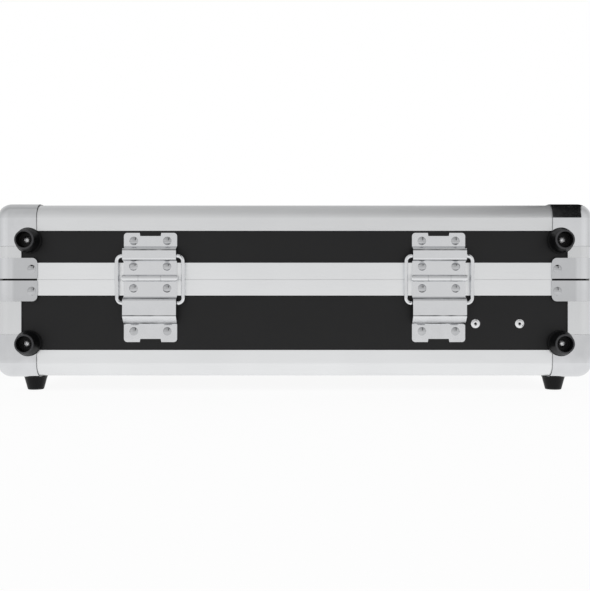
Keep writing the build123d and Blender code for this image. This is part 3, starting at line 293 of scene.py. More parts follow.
# %% Laminated plywood
material, tree, shader = start_finish("black_laminated_plywood", "#161617", 0.0, 0.46)
shader.inputs["Specular IOR Level"].default_value = 0.3
pebble = noise(tree, 1.1, 2.0)
clouds = noise(tree, 45, 3.0)
vary(tree, shader, "Roughness", clouds, 0.45, 0.49)
tint(tree, shader, clouds, "#151516", "#181819")
relief(tree, shader, pebble, 0.035)
finishes[material.name] = material
print("finishes:", len(finishes))

# %% [markdown]
# ## Pressed, chromed and zinc-plated steel
#
# Corner caps and braces are deep-drawn steel with bright chrome. Drawing stretches the sheet, so a
# polished cap is never quite flat: a slow wave of a tenth of a millimetre makes its reflections
# wander. Hinges and latches are zinc plated, a little greyer and softer, with faint roll lines.
# Rings, pins and the handle's bail are nickel-plated wire.
#
# Such marks could be painted on an unwrapped mesh. Here each mark has a rule instead, so it is
# found from the place of a point. The edge face of a cap always faces the middle of the case, and
# it is
# painted dark grey: painted shade that draws the seam round the cap. The bends of a hinge, at known
# heights, get dark lines of painted shade. A brace is painted lighter on the round of its corner, a
# painted highlight, while its flat legs stay greyer. Rivets are tumbled in bulk and are the dullest
# of all.

# %% Bright steels
corner_highlight_from = (248.6, 208.6)  # where the painted highlight on a brace begins, along X and along Y
corner_highlight_fade = 1.2
bend_levels = (125.7, 116.6, 83.2, 68.0, 61.2)
bend_shade_full, bend_shade_gone = 0.28, 0.68  # from the middle of a bend, where the painted shade is full and where it is gone
painted_shade_grey = "#3A3B3D"  # painted shade on the edge face of a cap and in the bends of a hinge


def painted_edge_shade(tree):
    """1 where a surface faces the middle of the case, as a cap's edge face does, for painted shade.
    """
    outwards = add_node(tree, VECTOR, (from_middle(tree),), operation="SIGN")
    normal = add_node(tree, "ShaderNodeTexCoord").outputs["Normal"]
    lean = add_node(tree, VECTOR, (outwards, normal), operation="MULTIPLY")
    parts = add_node(tree, "ShaderNodeSeparateXYZ", (lean,)).outputs
    least = add_node(tree, MATH, (parts["X"], parts["Y"]), operation="MINIMUM")
    least = add_node(tree, MATH, (least, parts["Z"]), operation="MINIMUM")
    return add_node(tree, MATH, (least, -steep), operation="LESS_THAN")


def painted_corner_highlight(tree):
    """1 round the upright corners of the case, 0 further along its walls, for a painted highlight.
    """
    away = distances(tree)
    near = 1.0
    for axis, start in zip("XY", corner_highlight_from):
        step = add_node(tree, "ShaderNodeMapRange", {
            "Value": away[axis], "From Min": (start - corner_highlight_fade) * mm,
            "From Max": (start + corner_highlight_fade) * mm})
        near = add_node(tree, MATH, (near, step), operation="MULTIPLY")
    return near


def painted_bend_shade(tree):
    """Painted shade: 1 in the middle of a hinge bend, 0 beside it, uneven along the bend."""
    place = add_node(tree, "ShaderNodeTexCoord").outputs["Object"]
    height = add_node(tree, "ShaderNodeSeparateXYZ", (place,)).outputs["Z"]
    nearest = 1.0
    for bend in bend_levels:
        above = add_node(tree, MATH, (height, bend * mm), operation="SUBTRACT")
        away = add_node(tree, MATH, (above,), operation="ABSOLUTE")
        nearest = add_node(tree, MATH, (nearest, away), operation="MINIMUM")
    line = add_node(tree, "ShaderNodeMapRange", {
        "Value": nearest, "From Min": bend_shade_full * mm, "From Max": bend_shade_gone * mm,
        "To Min": 1.0, "To Max": 0.0})
    patchy = add_node(tree, "ShaderNodeMapRange", {
        "Value": noise(tree, 14, 2.0), "From Min": 0.35, "From Max": 0.6, "To Min": 0.45,
        "To Max": 0.95})
    return add_node(tree, MATH, (line, patchy), operation="MULTIPLY")


def bright_steel(name, dark, light, roughness, wave_size, wave_depth, grain=0.0, marked=None):
    """Bright metal. Marked is a function that says where, and the colour it has there."""
    material, tree, shader = start_finish(name, light, 1.0, roughness)
    wave = noise(tree, wave_size, 1.0)
    handled = noise(tree, 9, 4.0)
    vary(tree, shader, "Roughness", handled, roughness * 0.8, roughness * 1.35)
    colour = tint(tree, shader, handled, dark, light)
    if marked:
        where, other = marked
        paint(tree, shader, where(tree), colour, other)
    bent = relief(tree, shader, wave, wave_depth)
    if grain:
        roll_lines = noise(tree, 0.7, 2.0, (0.03, 1, 1))
        relief(tree, shader, roll_lines, grain, bent)
    finishes[name] = material


# The round of a brace's corner is painted lighter, a painted highlight; its flat legs stay greyer.
bright_steel("chromed_brace_steel", "#C3C4C6", "#C8C9CB", 0.10, 22, 0.08,
             marked=(painted_corner_highlight, "#D4D5D7"))
# The edge face of a cap is painted dark grey, painted shade that draws its seam.
bright_steel("chromed_cap_steel", "#D6D7D9", "#DBDCDE", 0.08, 22, 0.10,
             marked=(painted_edge_shade, painted_shade_grey))
bright_steel("zinc_plated_steel", "#DCDDDF", "#E0E1E3", 0.15, 25, 0.03, 0.001)
# The dark lines in the bends of a hinge are painted shade.
bright_steel("zinc_plated_hinge_steel", "#DEDFE1", "#E2E3E5", 0.15, 25, 0.03, 0.001,
             marked=(painted_bend_shade, painted_shade_grey))
bright_steel("nickel_plated_wire", "#E2E3E5", "#E7E8EA", 0.12, 20, 0.02)
bright_steel("plated_rivet_steel", "#B4B5B7", "#C2C3C5", 0.12, 6, 0.01)
bright_steel("soft_rivet_aluminium", "#E9EAEB", "#F0F0F1", 0.34, 3, 0.01)
print("finishes:", len(finishes))

# %% [markdown]
# ## Powder coat, rubber and foam
#
# Powder coat flows out to a fine orange peel. Moulded rubber is nearly black and dull. The rim of a
# foot is painted grey, a painted highlight for the light that its round edge catches. That could be
# a second material, but the highlight has a soft end, so the foot's mesh carries a number that says
# where. Foam is a mass of open cells that scatters light and shows no gloss. Its cells are under a
# millimetre, and they are drawn at 1.6 mm so that they still show.

# %% Dull black finishes
foam_cell = 1.6


def dull_black(name, dark, light, roughness, grain_size, grain_depth, level, painted_rim_highlight=False):
    material, tree, shader = start_finish(name, dark, 0.0, roughness)
    shader.inputs["Specular IOR Level"].default_value = level
    grain = noise(tree, grain_size, 3.0)
    dust = noise(tree, 14, 4.0)
    vary(tree, shader, "Roughness", dust, roughness - 0.06, roughness + 0.06)
    colour = tint(tree, shader, dust, dark, light)
    if painted_rim_highlight:
        # The rim of a foot is painted grey, a painted highlight.
        rim_highlight_share = add_node(tree, "ShaderNodeAttribute", attribute_name="rim_highlight_share").outputs["Fac"]
        paint(tree, shader, rim_highlight_share, colour, "#4A4A4C")
    relief(tree, shader, grain, grain_depth)
    finishes[name] = material


dull_black("black_powder_coat", "#17171A", "#1F1F21", 0.50, 0.7, 0.03, 0.5)
dull_black("moulded_rubber", "#070708", "#0C0C0D", 0.42, 0.5, 0.02, 0.2, painted_rim_highlight=True)
dull_black("moulded_grip_rubber", "#121213", "#1B1B1C", 0.58, 1.3, 0.06, 0.4)

material, tree, shader = start_finish("charcoal_open_cell_foam", "#2B2B2E", 0.0, 0.95)
shader.inputs["Specular IOR Level"].default_value = 0.1
shader.inputs["Sheen Weight"].default_value = 0.25
shader.inputs["Sheen Roughness"].default_value = 0.6
place = add_node(tree, "ShaderNodeTexCoord").outputs["Object"]
cells = add_node(tree, "ShaderNodeTexVoronoi", {"Vector": place, "Scale": 1 / (foam_cell * mm)})
tint(tree, shader, cells.outputs["Distance"], "#1C1C1F", "#37373B")
relief(tree, shader, cells.outputs["Distance"], 0.5)
finishes[material.name] = material
print("finishes:", sorted(finishes))

# %% [markdown]
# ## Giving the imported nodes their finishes
#
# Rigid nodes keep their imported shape, and only their material slots change. Each could be set by
# hand, but there are 59. The names say what each piece is, so the rules go by name, and the first
# rule that fits decides.

# %% Finish by node name
finish_rules = [
    ("_panel", "black_laminated_plywood"),
    ("upright_edges", "anodised_aluminium_upright_shaded"),
    ("_edges", "anodised_aluminium_level"),
    ("closing_profile", "anodised_aluminium_rim"),
    ("corner_caps", "chromed_cap_steel"),
    ("corner_braces", "chromed_brace_steel"),
    ("hinge_base_leaf", "zinc_plated_hinge_steel"),
    ("hinge_lid_leaf", "zinc_plated_hinge_steel"),
    ("hinge_pin", "nickel_plated_wire"),
    ("stay_ring", "nickel_plated_wire"),
    ("_rivets", "plated_rivet_steel"),
    ("_screws", "plated_rivet_steel"),
    ("_feet", "moulded_rubber"),
    ("rack_rail", "black_powder_coat"),
    ("_foam", "charcoal_open_cell_foam"),
    ("handle_grip", "moulded_grip_rubber"),
    ("handle_bail", "nickel_plated_wire"),
    ("handle_brackets", "zinc_plated_steel"),
    ("latch_", "zinc_plated_steel"),
    ("rear_backing_strip", "zinc_plated_steel"),
]
for name, node in frame["nodes"].items():
    finish = next(value for key, value in finish_rules if key in name)
    for index in range(len(node.data.materials)):
        node.data.materials[index] = finishes[finish]
print("nodes with a finish:", len(frame["nodes"]))

# %% [markdown]
# ## Turned and moulded small parts
#
# Rivets, screws and feet are round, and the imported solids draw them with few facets. A subdivided
# copy would round off their edges too. So each is rebuilt as a smooth turned shape: half a section
# is spun round its axis, as a lathe does.

# %% Turning a section
def smooth(mesh, angle=32):
    """Smooth shading, with an edge kept sharp where it bends by more than the angle."""
    mesh.polygons.foreach_set("use_smooth", [True] * len(mesh.polygons))
    mesh.set_sharp_from_angle(angle=math.radians(angle))


def turned(name, section, steps=48, rim_highlight_share=None):
    """Spins a section of (radius, height) points in millimetres round Z.

    The section starts and ends on the axis, or ends on the point that it starts from. The last
    argument gives each point a 0 to 1 share of a painted highlight, for the finish to read.
    """
    mesh = bpy.data.meshes.new(name)
    form = bmesh.new()
    ring = section[0] == section[-1]
    rows = []
    for radius, height in section[:-1] if ring else section:
        count = steps if radius else 1
        angles = [2 * math.pi * i / steps for i in range(count)]
        row = [form.verts.new((radius * mm * math.cos(a), radius * mm * math.sin(a), height * mm))
               for a in angles]
        rows.append(row * (steps // count))
    for low, high in zip(rows, rows[1:] + rows[:1] if ring else rows[1:]):
        for i in range(steps):
            j = (i + 1) % steps
            corners = []
            for vertex in (low[i], low[j], high[j], high[i]):
                if vertex not in corners:
                    corners.append(vertex)
            form.faces.new(corners)
    bmesh.ops.recalc_face_normals(form, faces=form.faces)
    form.to_mesh(mesh)
    form.free()
    if rim_highlight_share:
        amount = [value for value, row in zip(rim_highlight_share, rows) for vertex in row]
        mesh.attributes.new("rim_highlight_share", "FLOAT", "POINT").data.foreach_set("value", amount)
    smooth(mesh)
    return bpy.data.objects.new(name, mesh)


def arc(centre, radius, start, end, count):
    """Points of (radius, height) on an arc, with its angles in degrees."""
    angles = [math.radians(start + (end - start) * i / count) for i in range(count + 1)]
    return [(centre[0] + radius * math.cos(a), centre[1] + radius * math.sin(a)) for a in angles]


def domed_head(head_radius, head_height, shank_radius, shank_length):
    """The section of a rivet: shank, a thin rim and a dome up to the axis."""
    rim, broken_edge = 0.25, 0.08
    rise = head_height - rim
    sphere = (head_radius**2 + rise**2) / (2 * rise)
    lean = math.degrees(math.asin(head_radius / sphere))
    dome = arc((0, head_height - sphere), sphere, 90 - lean, 90, 10)
    return [(0, -shank_length), (shank_radius, -shank_length), (shank_radius, 0),
            (head_radius - broken_edge, 0), (head_radius, broken_edge)] + dome[:-1] + [
            (0, head_height)]


print("points in a rivet's section:", len(domed_head(3.75, 1.6, 2.0, 8.0)))

# %% [markdown]
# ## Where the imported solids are
#
# A node such as the brace rivets holds many separate solids. Their places could be typed in again,
# but then a change in the case would leave them behind. Triangles that share a corner belong to one
# solid, so joining them up gives each solid's own box. Its longest side is the shank's direction.
# The head is on the side away from the case, or towards it for a screw that is set from inside.

# %% Boxes of the separate solids in a node
def solids_in(node):
    """(lowest corner, highest corner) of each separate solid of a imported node."""
    mesh = frame["nodes"][node].data
    keys, parent = {}, []

    def top(i):
        while parent[i] != i:
            parent[i] = parent[parent[i]]
            i = parent[i]
        return i

    joined = []
    for vertex in mesh.vertices:
        key = tuple(round(c, 6) for c in vertex.co)
        if key not in keys:
            keys[key] = len(parent)
            parent.append(keys[key])
        joined.append(keys[key])
    for polygon in mesh.polygons:
        first = joined[polygon.vertices[0]]
        for other in polygon.vertices[1:]:
            parent[top(joined[other])] = top(first)
    groups = {}
    for key, index in keys.items():
        groups.setdefault(top(index), []).append(key)
    boxes = []
    for points in groups.values():
        columns = list(zip(*points))
        boxes.append((Vector(map(min, columns)), Vector(map(max, columns))))
    return sorted(boxes, key=lambda pair: tuple(pair[0]))


def shank_length(node, head_height):
    """The length below the head, in millimetres, of the fasteners in a node."""
    low, high = solids_in(node)[0]
    return max(high - low) / mm - head_height


def seats(node, head_height, inward=False):
    """Where the heads of a node's fasteners sit, and which way they face."""
    places = []
    for low, high in solids_in(node):
        size = high - low
        axis = max(range(3), key=lambda i: size[i])
        centre = (low + high) / 2
        away = (centre.x, centre.y - middle_y * mm, centre.z - cad_box[1][2] / 2)[axis]
        sign = -1 if (away < 0) != inward else 1
        facing = Vector((0, 0, 0))
        facing[axis] = sign
        place = centre.copy()
        place[axis] = (high if sign > 0 else low)[axis] - sign * head_height * mm
        places.append((place, facing))
    return places


print("brace rivets on the base:", len(solids_in("base_brace_rivets")))

# %% [markdown]
# ## Placing many copies with Geometry Nodes
#
# Sixty-six fasteners and eight feet repeat a few shapes. One could duplicate objects in a loop, but
# a node tree keeps the rule in one place: each point of a small mesh gets a copy of the shape,
# turned to face outwards, with a chance turn about its own axis as hand-set parts have. The tree
# ends in real geometry with its finish, because instances don't survive the export.

# %% The tree that sets a shape on points
def start_tree(name, sockets):
    """A Geometry Nodes tree with named inputs. Returns the tree and its inputs."""
    tree = bpy.data.node_groups.new(name, "GeometryNodeTree")
    for label, kind in [("Geometry", "Geometry")] + sockets:
        tree.interface.new_socket(label, in_out="INPUT", socket_type="NodeSocket" + kind)
    tree.interface.new_socket("Geometry", in_out="OUTPUT", socket_type="NodeSocketGeometry")
    return tree, add_node(tree, "NodeGroupInput").outputs


def end_tree(tree, shape, finish):
    """Makes the shape real geometry and gives it its finish."""
    real = add_node(tree, "GeometryNodeRealizeInstances", {"Geometry": shape})
    finished = add_node(tree, "GeometryNodeSetMaterial", {"Geometry": real, "Material": finish})
    add_node(tree, "NodeGroupOutput", {"Geometry": finished})
    return tree


def copies_tree():
    tree, given = start_tree("set_on_points", [
        ("Shape", "Object"), ("Most turn", "Float"), ("Seed", "Int"), ("Finish", "Material")])
    shape = add_node(tree, "GeometryNodeObjectInfo", {"Object": given["Shape"]})
    facing = add_node(tree, "GeometryNodeInputNamedAttribute", {"Name": "facing"},
                      data_type="FLOAT_VECTOR").outputs["Attribute"]
    outward = add_node(tree, "FunctionNodeAlignRotationToVector", {"Vector": facing}, axis="Z")
    chance = add_node(tree, "FunctionNodeRandomValue", {
        3: given["Most turn"], "Seed": given["Seed"]}, data_type="FLOAT")
    own_turn = add_node(tree, "FunctionNodeAxisAngleToRotation", {
        "Axis": (0, 0, 1), "Angle": chance.outputs[1]})
    turn = add_node(tree, "FunctionNodeRotateRotation", {
        "Rotation": outward, "Rotate By": own_turn}, rotation_space="LOCAL")
    points = add_node(tree, "GeometryNodeMeshToPoints", {"Mesh": given["Geometry"]})
    copies = add_node(tree, "GeometryNodeInstanceOnPoints", {
        "Points": points, "Instance": shape.outputs["Geometry"], "Rotation": turn})
    return end_tree(tree, copies, given["Finish"])


def run_tree(name, start_mesh, tree, values):
    """Runs a tree on a mesh and returns its result as a plain object of that name."""
    holder = bpy.data.objects.new(name, start_mesh)
    bpy.context.scene.collection.objects.link(holder)
    modifier = holder.modifiers.new("Make", "NODES")
    modifier.node_group = tree
    for item in tree.interface.items_tree:
        if item.item_type == "SOCKET" and item.in_out == "INPUT" and item.name in values:
            modifier[item.identifier] = values[item.name]
    holder.update_tag()
    bpy.context.view_layer.update()
    evaluated = holder.evaluated_get(bpy.context.evaluated_depsgraph_get())
    result = bpy.data.meshes.new_from_object(evaluated)
    bpy.data.objects.remove(holder)
    result.name = name
    piece = bpy.data.objects.new(name, result)
    bpy.context.scene.collection.objects.link(piece)
    return piece


def set_copies(name, shape, places, finish, seed=1):
    """Copies of a shape at (place, facing) pairs, as one plain mesh."""
    start = bpy.data.meshes.new(name + "_points")
    start.from_pydata([place for place, facing in places], [], [])
    attribute = start.attributes.new("facing", "FLOAT_VECTOR", "POINT")
    attribute.data.foreach_set("vector", [c for place, facing in places for c in facing])
    bpy.context.scene.collection.objects.link(shape)
    piece = run_tree(name, start, set_on_points, {
        "Shape": shape, "Most turn": 2 * math.pi, "Seed": seed, "Finish": finishes[finish]})
    bpy.data.objects.remove(shape)
    print(name, "copies:", len(places), "faces:", len(piece.data.polygons))
    return piece


def stand_for(piece, node):
    """The piece rides with the node's body and hides the node."""
    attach(piece, frame["nodes"][node]["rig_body"])
    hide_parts(node)


set_on_points = copies_tree()
print("nodes in the tree:", len(set_on_points.nodes))

# %% [markdown]
# ## Rivets
#
# All rivets are domed: a large head on hinges, braces and brackets, and a small one on latches and
# catches. A rivet is set from outside, so only its head shows. Its shank could be left out, but it
# reaches the back of the panel, where it shows inside the open case.

# %% Domed rivets
shank_radius = 2.0
large_head, small_head = (3.75, 1.6), (3.0, 1.3)  # radius and height
rivet_heads = {
    "base_brace_rivets": large_head, "lid_brace_rivets": large_head,
    "hinge_base_rivets": large_head, "hinge_lid_rivets": large_head,
    "handle_bracket_rivets": large_head,
    "latch_housing_rivets": small_head, "latch_catch_rivets": small_head,
}
for node, (head_radius, head_height) in rivet_heads.items():
    shape = turned("rivet_shape", domed_head(
        head_radius, head_height, shank_radius, shank_length(node, head_height)))
    piece = set_copies("domed_" + node, shape, seats(node, head_height), "plated_rivet_steel")
    stand_for(piece, node)

# %% [markdown]
# ## Cross-head screws
#
# The feet and the rack rails are held by pan-head screws with a cross recess. The recess could be
# painted on as a dark cross, but its walls catch the light. So the head is turned like a rivet, and
# two tapered bars cut the cross out of it with a boolean, just as the punch forms it.

# %% Screws with a cross recess
cross_arm, cross_width, cross_depth = 0.52, 0.17, 0.75  # as shares of the head's size
cross_taper = 0.35


def cross_screw(head_radius, head_height, shank_radius, shank_length):
    screw = turned("screw_shape", domed_head(
        head_radius, head_height, shank_radius, shank_length))
    arm, wide = cross_arm * head_radius * mm, cross_width * head_radius * mm
    deep, above = cross_depth * head_height * mm, 0.5 * mm
    form = bmesh.new()
    for turn in (0, 90):
        bar = bmesh.ops.create_cube(form, size=1)["verts"]
        spin = Matrix.Rotation(math.radians(turn), 3, "Z")
        for vertex in bar:
            low = vertex.co.z < 0
            narrow = cross_taper if low else 1.0
            corner = Vector((2 * vertex.co.x * arm * narrow, 2 * vertex.co.y * wide * narrow,
                             head_height * mm + (-deep if low else above)))
            vertex.co = spin @ corner
    cutter_mesh = bpy.data.meshes.new("cross_cutter")
    form.to_mesh(cutter_mesh)
    form.free()
    cutter = bpy.data.objects.new("cross_cutter", cutter_mesh)
    for item in (screw, cutter):
        bpy.context.scene.collection.objects.link(item)
    cut = screw.modifiers.new("Cross", "BOOLEAN")
    cut.object, cut.operation, cut.solver, cut.use_self = cutter, "DIFFERENCE", "EXACT", True
    evaluated = screw.evaluated_get(bpy.context.evaluated_depsgraph_get())
    result = bpy.data.meshes.new_from_object(evaluated)
    for item in (screw, cutter):
        bpy.data.objects.remove(item)
    smooth(result)
    return bpy.data.objects.new("screw_shape", result)


for node, (head_radius, head_height), inward in (
    ("base_foot_screws", (3.6, 2.0), False),
    ("lid_foot_screws", (3.6, 2.0), False),
    ("rack_rail_screws", small_head, True),
):
    shape = cross_screw(head_radius, head_height, shank_radius, shank_length(node, head_height))
    piece = set_copies(
        "cross_" + node, shape, seats(node, head_height, inward), "soft_rivet_aluminium", seed=7)
    stand_for(piece, node)

# %% [markdown]
# ## Blind rivets
#
# Two blind rivets sit low on the rear panel. Their heads are flat rings of soft aluminium, and the
# mandrel's hole stays open and dark in the middle. A black dot would do from straight ahead, but a
# section that closes on itself gives a real hole when it is turned.

# %% Blind rivets with open centres
bore, head_radius, head_height = 1.15, 4.0, 1.2
tail_radius, tail_height = 2.5, 1.1
length = shank_length("rear_panel_rivets", head_height)
section = [(bore, -length), (tail_radius, -length), (tail_radius, tail_height - length),
           (shank_radius, tail_height - length), (shank_radius, 0),
           (head_radius - 0.1, 0), (head_radius, 0.12), (head_radius - 0.05, 0.35)]
section += arc((bore + 0.9, 0.2), 1.0, 60, 118, 5) + [(bore, 0.75), (bore, -length)]
shape = turned("blind_rivet_shape", section)
piece = set_copies(
    "blind_rivets", shape, seats("rear_panel_rivets", head_height), "soft_rivet_aluminium")
stand_for(piece, "rear_panel_rivets")

# %% [markdown]
# ## Rubber feet
#
# Each foot is a moulded cone with a deep recess for its screw. The mould leaves a rounded rim and a
# small bead at the base, and these two round edges are what catches the light in a black part. A
# plain cone with a bevel would miss the bead, so the whole section is drawn and turned.

# %% Feet
foot_steps = 72
foot_hole = 2.1
small_foot, large_foot = (10.5, 7.2, 5.9), (11.4, 8.4, 7.0)  # radius of base, rim and recess


def foot(base, rim, recess, height=12.9, floor_level=3.9):
    """A moulded foot, with a painted highlight on its rim."""
    wall = [(foot_hole, 0), (base - 0.3, 0), (base, 0.3), (base, 1.2), (base - 0.25, 1.55),
            (base - 0.45, 1.7)]
    top = arc((rim - 0.72, height - 0.8), 0.8, 17, 90, 8)
    wall.append((top[0][0] + 0.2, top[0][1] - 0.7))
    top += arc((recess + 0.35, height - 0.35), 0.35, 90, 180, 4)
    inside = [(recess, height - 0.6), (recess - 0.15, floor_level + 0.5),
              (recess - 0.6, floor_level), (foot_hole, floor_level), (foot_hole, 0)]
    # The points of the rim get the painted highlight.
    rim_highlight_share = [0.0] * len(wall) + [0.8] * len(top) + [0.0] * len(inside)
    return turned("foot_shape", wall + top + inside, foot_steps, rim_highlight_share)


for node in ("base_feet", "base_rear_feet", "lid_rear_feet"):
    places = []
    for low, high in solids_in(node):
        centre = (low + high) / 2
        if node == "base_feet":
            places.append((Vector((centre.x, centre.y, high.z)), Vector((0, 0, -1))))
        else:
            places.append((Vector((centre.x, high.y, centre.z)), Vector((0, -1, 0))))
    shape = foot(*(small_foot if node == "base_feet" else large_foot))
    piece = set_copies("moulded_" + node, shape, places, "moulded_rubber", seed=3)
    stand_for(piece, node)

# %% [markdown]
# ## The rule of an egg crate
#
# The lid holds an egg-crate foam, whose peaks hold the mixer down, and the base a thin flat pad. An
# egg crate could be sculpted, but it is two sine waves multiplied, so it follows a rule. Geometry
# Nodes can build it from a grid: raise each point by the waves, round the edge off, then extrude
# the sheet back to a flat glued side.

# %% The tree that makes a foam pad
edge_drop = 0.6  # how far the rounded edge falls, as a share of its width


def foam_tree():
    numbers = ("Length", "Width", "Pitch", "Wave", "Round edge", "Open level", "Glued level",
               "Middle")
    tree, given = start_tree("foam_pad", [(label, "Float") for label in numbers] + [
        ("Rows along", "Int"), ("Rows across", "Int"), ("Finish", "Material")])
    grid = add_node(tree, "GeometryNodeMeshGrid", {
        "Size X": given["Length"], "Size Y": given["Width"],
        "Vertices X": given["Rows along"], "Vertices Y": given["Rows across"]})
    place = add_node(tree, "GeometryNodeInputPosition")
    parts = add_node(tree, "ShaderNodeSeparateXYZ", (place,)).outputs

    rate = add_node(tree, MATH, (2 * math.pi, given["Pitch"]), operation="DIVIDE")
    phase = add_node(tree, VECTOR, {0: place, "Scale": rate}, operation="SCALE")
    waves = add_node(tree, VECTOR, (phase,), operation="SINE")
    waves = add_node(tree, "ShaderNodeSeparateXYZ", (waves,)).outputs
    peaks = add_node(tree, MATH, (waves["X"], waves["Y"]), operation="MULTIPLY")
    peaks = add_node(tree, MATH, (peaks, 1.0), operation="SUBTRACT")
    raised = add_node(tree, MATH, (peaks, given["Wave"]), operation="MULTIPLY")

    ends = add_node(tree, "ShaderNodeCombineXYZ", {"X": given["Length"], "Y": given["Width"]})
    ends = add_node(tree, VECTOR, {0: ends, "Scale": 0.5}, operation="SCALE")
    away = add_node(tree, VECTOR, (place,), operation="ABSOLUTE")
    inwards = add_node(tree, VECTOR, (ends, away), operation="SUBTRACT")
    inwards = add_node(tree, "ShaderNodeSeparateXYZ", (inwards,)).outputs
    nearest = add_node(tree, MATH, (inwards["X"], inwards["Y"]), operation="MINIMUM")
    share = add_node(tree, "ShaderNodeMapRange", {
        "Value": nearest, "From Min": 0.0, "From Max": given["Round edge"], "To Min": 1.0,
        "To Max": 0.0})
    fall = add_node(tree, MATH, (share, 2.0), operation="POWER")
    drop = add_node(tree, MATH, (given["Round edge"], -edge_drop), operation="MULTIPLY")
    edge = add_node(tree, MATH, (fall, drop), operation="MULTIPLY")

    thickness = add_node(tree, MATH, (given["Open level"], given["Glued level"]),
                         operation="SUBTRACT")
    towards = add_node(tree, MATH, (thickness,), operation="SIGN")
    raised = add_node(tree, MATH, (raised, edge), operation="ADD")
    raised = add_node(tree, MATH, (raised, towards), operation="MULTIPLY")
    level = add_node(tree, MATH, (given["Open level"], raised), operation="ADD")
    shifted = add_node(tree, MATH, (parts["Y"], given["Middle"]), operation="ADD")
    target = add_node(tree, "ShaderNodeCombineXYZ", (parts["X"], shifted, level))
    shaped = add_node(tree, "GeometryNodeSetPosition", {"Geometry": grid, "Position": target})

    walls = add_node(tree, "GeometryNodeExtrudeMesh", {
        "Mesh": shaped, "Offset Scale": 1 * mm, "Individual": False})
    back = add_node(tree, "GeometryNodeInputPosition")
    back = add_node(tree, "ShaderNodeSeparateXYZ", (back,)).outputs
    flat = add_node(tree, "ShaderNodeCombineXYZ", (back["X"], back["Y"], given["Glued level"]))
    backed = add_node(tree, "GeometryNodeSetPosition", {
        "Geometry": walls, "Selection": walls.outputs["Top"], "Position": flat})
    front = add_node(tree, "GeometryNodeFlipFaces", {"Mesh": shaped})
    both = add_node(tree, "GeometryNodeJoinGeometry", {"Geometry": backed})
    tree.links.new(front.outputs["Mesh"], both.inputs["Geometry"])
    closed = add_node(tree, "GeometryNodeMergeByDistance", {
        "Geometry": both, "Distance": 0.01 * mm})
    soft = add_node(tree, "GeometryNodeSetShadeSmooth", {"Geometry": closed})
    return end_tree(tree, soft, given["Finish"])


foam_pad = foam_tree()
print("nodes in the tree:", len(foam_pad.nodes))

# %% [markdown]
# ## The two pads
#
# Both pads are cut from charcoal foam and glued in, the egg crate under the lid with its peaks
# down and the flat pad on the floor. They could be two trees, but only their numbers differ: a
# wave of 0.2 mm is a pad that only looks a little uneven. Both yield to what lies on them.

# %% Foam for the lid and for the base
round_edge = 6.0


def foam_piece(name, node, opens_up, pitch, wave, step):
    low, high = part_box(node)
    size = high - low
    piece = run_tree(name, bpy.data.meshes.new(name + "_start"), foam_pad, {
        "Length": size.x, "Width": size.y, "Pitch": pitch * mm, "Wave": wave * mm,
        "Round edge": round_edge * mm, "Open level": high.z if opens_up else low.z,
        "Glued level": low.z if opens_up else high.z, "Middle": (low.y + high.y) / 2,
        "Rows along": int(size.x / (step * mm)) + 1, "Rows across": int(size.y / (step * mm)) + 1,
        "Finish": finishes["charcoal_open_cell_foam"]})
    form = bmesh.new()
    form.from_mesh(piece.data)
    bmesh.ops.remove_doubles(form, verts=form.verts, dist=0.01 * mm)
    bmesh.ops.recalc_face_normals(form, faces=form.faces)
    form.to_mesh(piece.data)
    form.free()
    smooth(piece.data, 50)
    stand_for(piece, node)
    print(name, "faces:", len(piece.data.polygons))


foam_piece("egg_crate_foam", "lid_foam", False, 38, 4.5, 3.0)
foam_piece("floor_foam", "base_foam", True, 60, 0.2, 6.0)

# %% [markdown]
# ## White paper and a white room
#
# The photograph shows the case on pure white. A floor could be lit until it looks white, but that
# light would fall on the object too. So the floor and the world are white by their own colour for
# the eye, for mirrors and for glass, and the light that reaches the object stays at a plain level.
# Overhead it is a little greyer, which gives the round edges their shading.
#
# Bright metal has no look of its own: it needs edges to reflect. So the room is a little darker
# straight ahead than across its corners, and two things are there for mirrors alone: the paper ends
# a little way off, as a sheet on a table does, and a black card hangs up on the right.

# %% Floor and world
reach = 8.0
paper_ends, paper_gone, paper_dimming = 0.58, 0.78, 0.22
paper_glow = 0.93  # the rest of the floor's white is its own colour, which keeps the shadow
wall_light, corner_gain = 0.83, 0.6
sky_dimming, sky_bend = 0.4, 0.75
card_edges = (("X", 0.23, 0.27), ("X", 0.48, 0.41), ("Z", 0.15, 0.25))
card_dark = 0.985  # the share of the light that the card takes away


def seen_directly(tree):
    """1 for camera, mirror and glass rays, 0 for the light that falls on surfaces."""
    path = add_node(tree, "ShaderNodeLightPath").outputs
    seen = add_node(tree, MATH, (path["Is Camera Ray"], path["Is Glossy Ray"]), operation="ADD")
    return add_node(tree, MATH, (seen, path["Is Transmission Ray"]), operation="ADD",
                    use_clamp=True)


def darker_in_mirrors(tree, amount):
    """Full brightness less an amount that only mirror rays see."""
    mirrored = add_node(tree, "ShaderNodeLightPath").outputs["Is Glossy Ray"]
    loss = add_node(tree, MATH, (amount, mirrored), operation="MULTIPLY")
    return add_node(tree, MATH, (1.0, loss), operation="SUBTRACT")


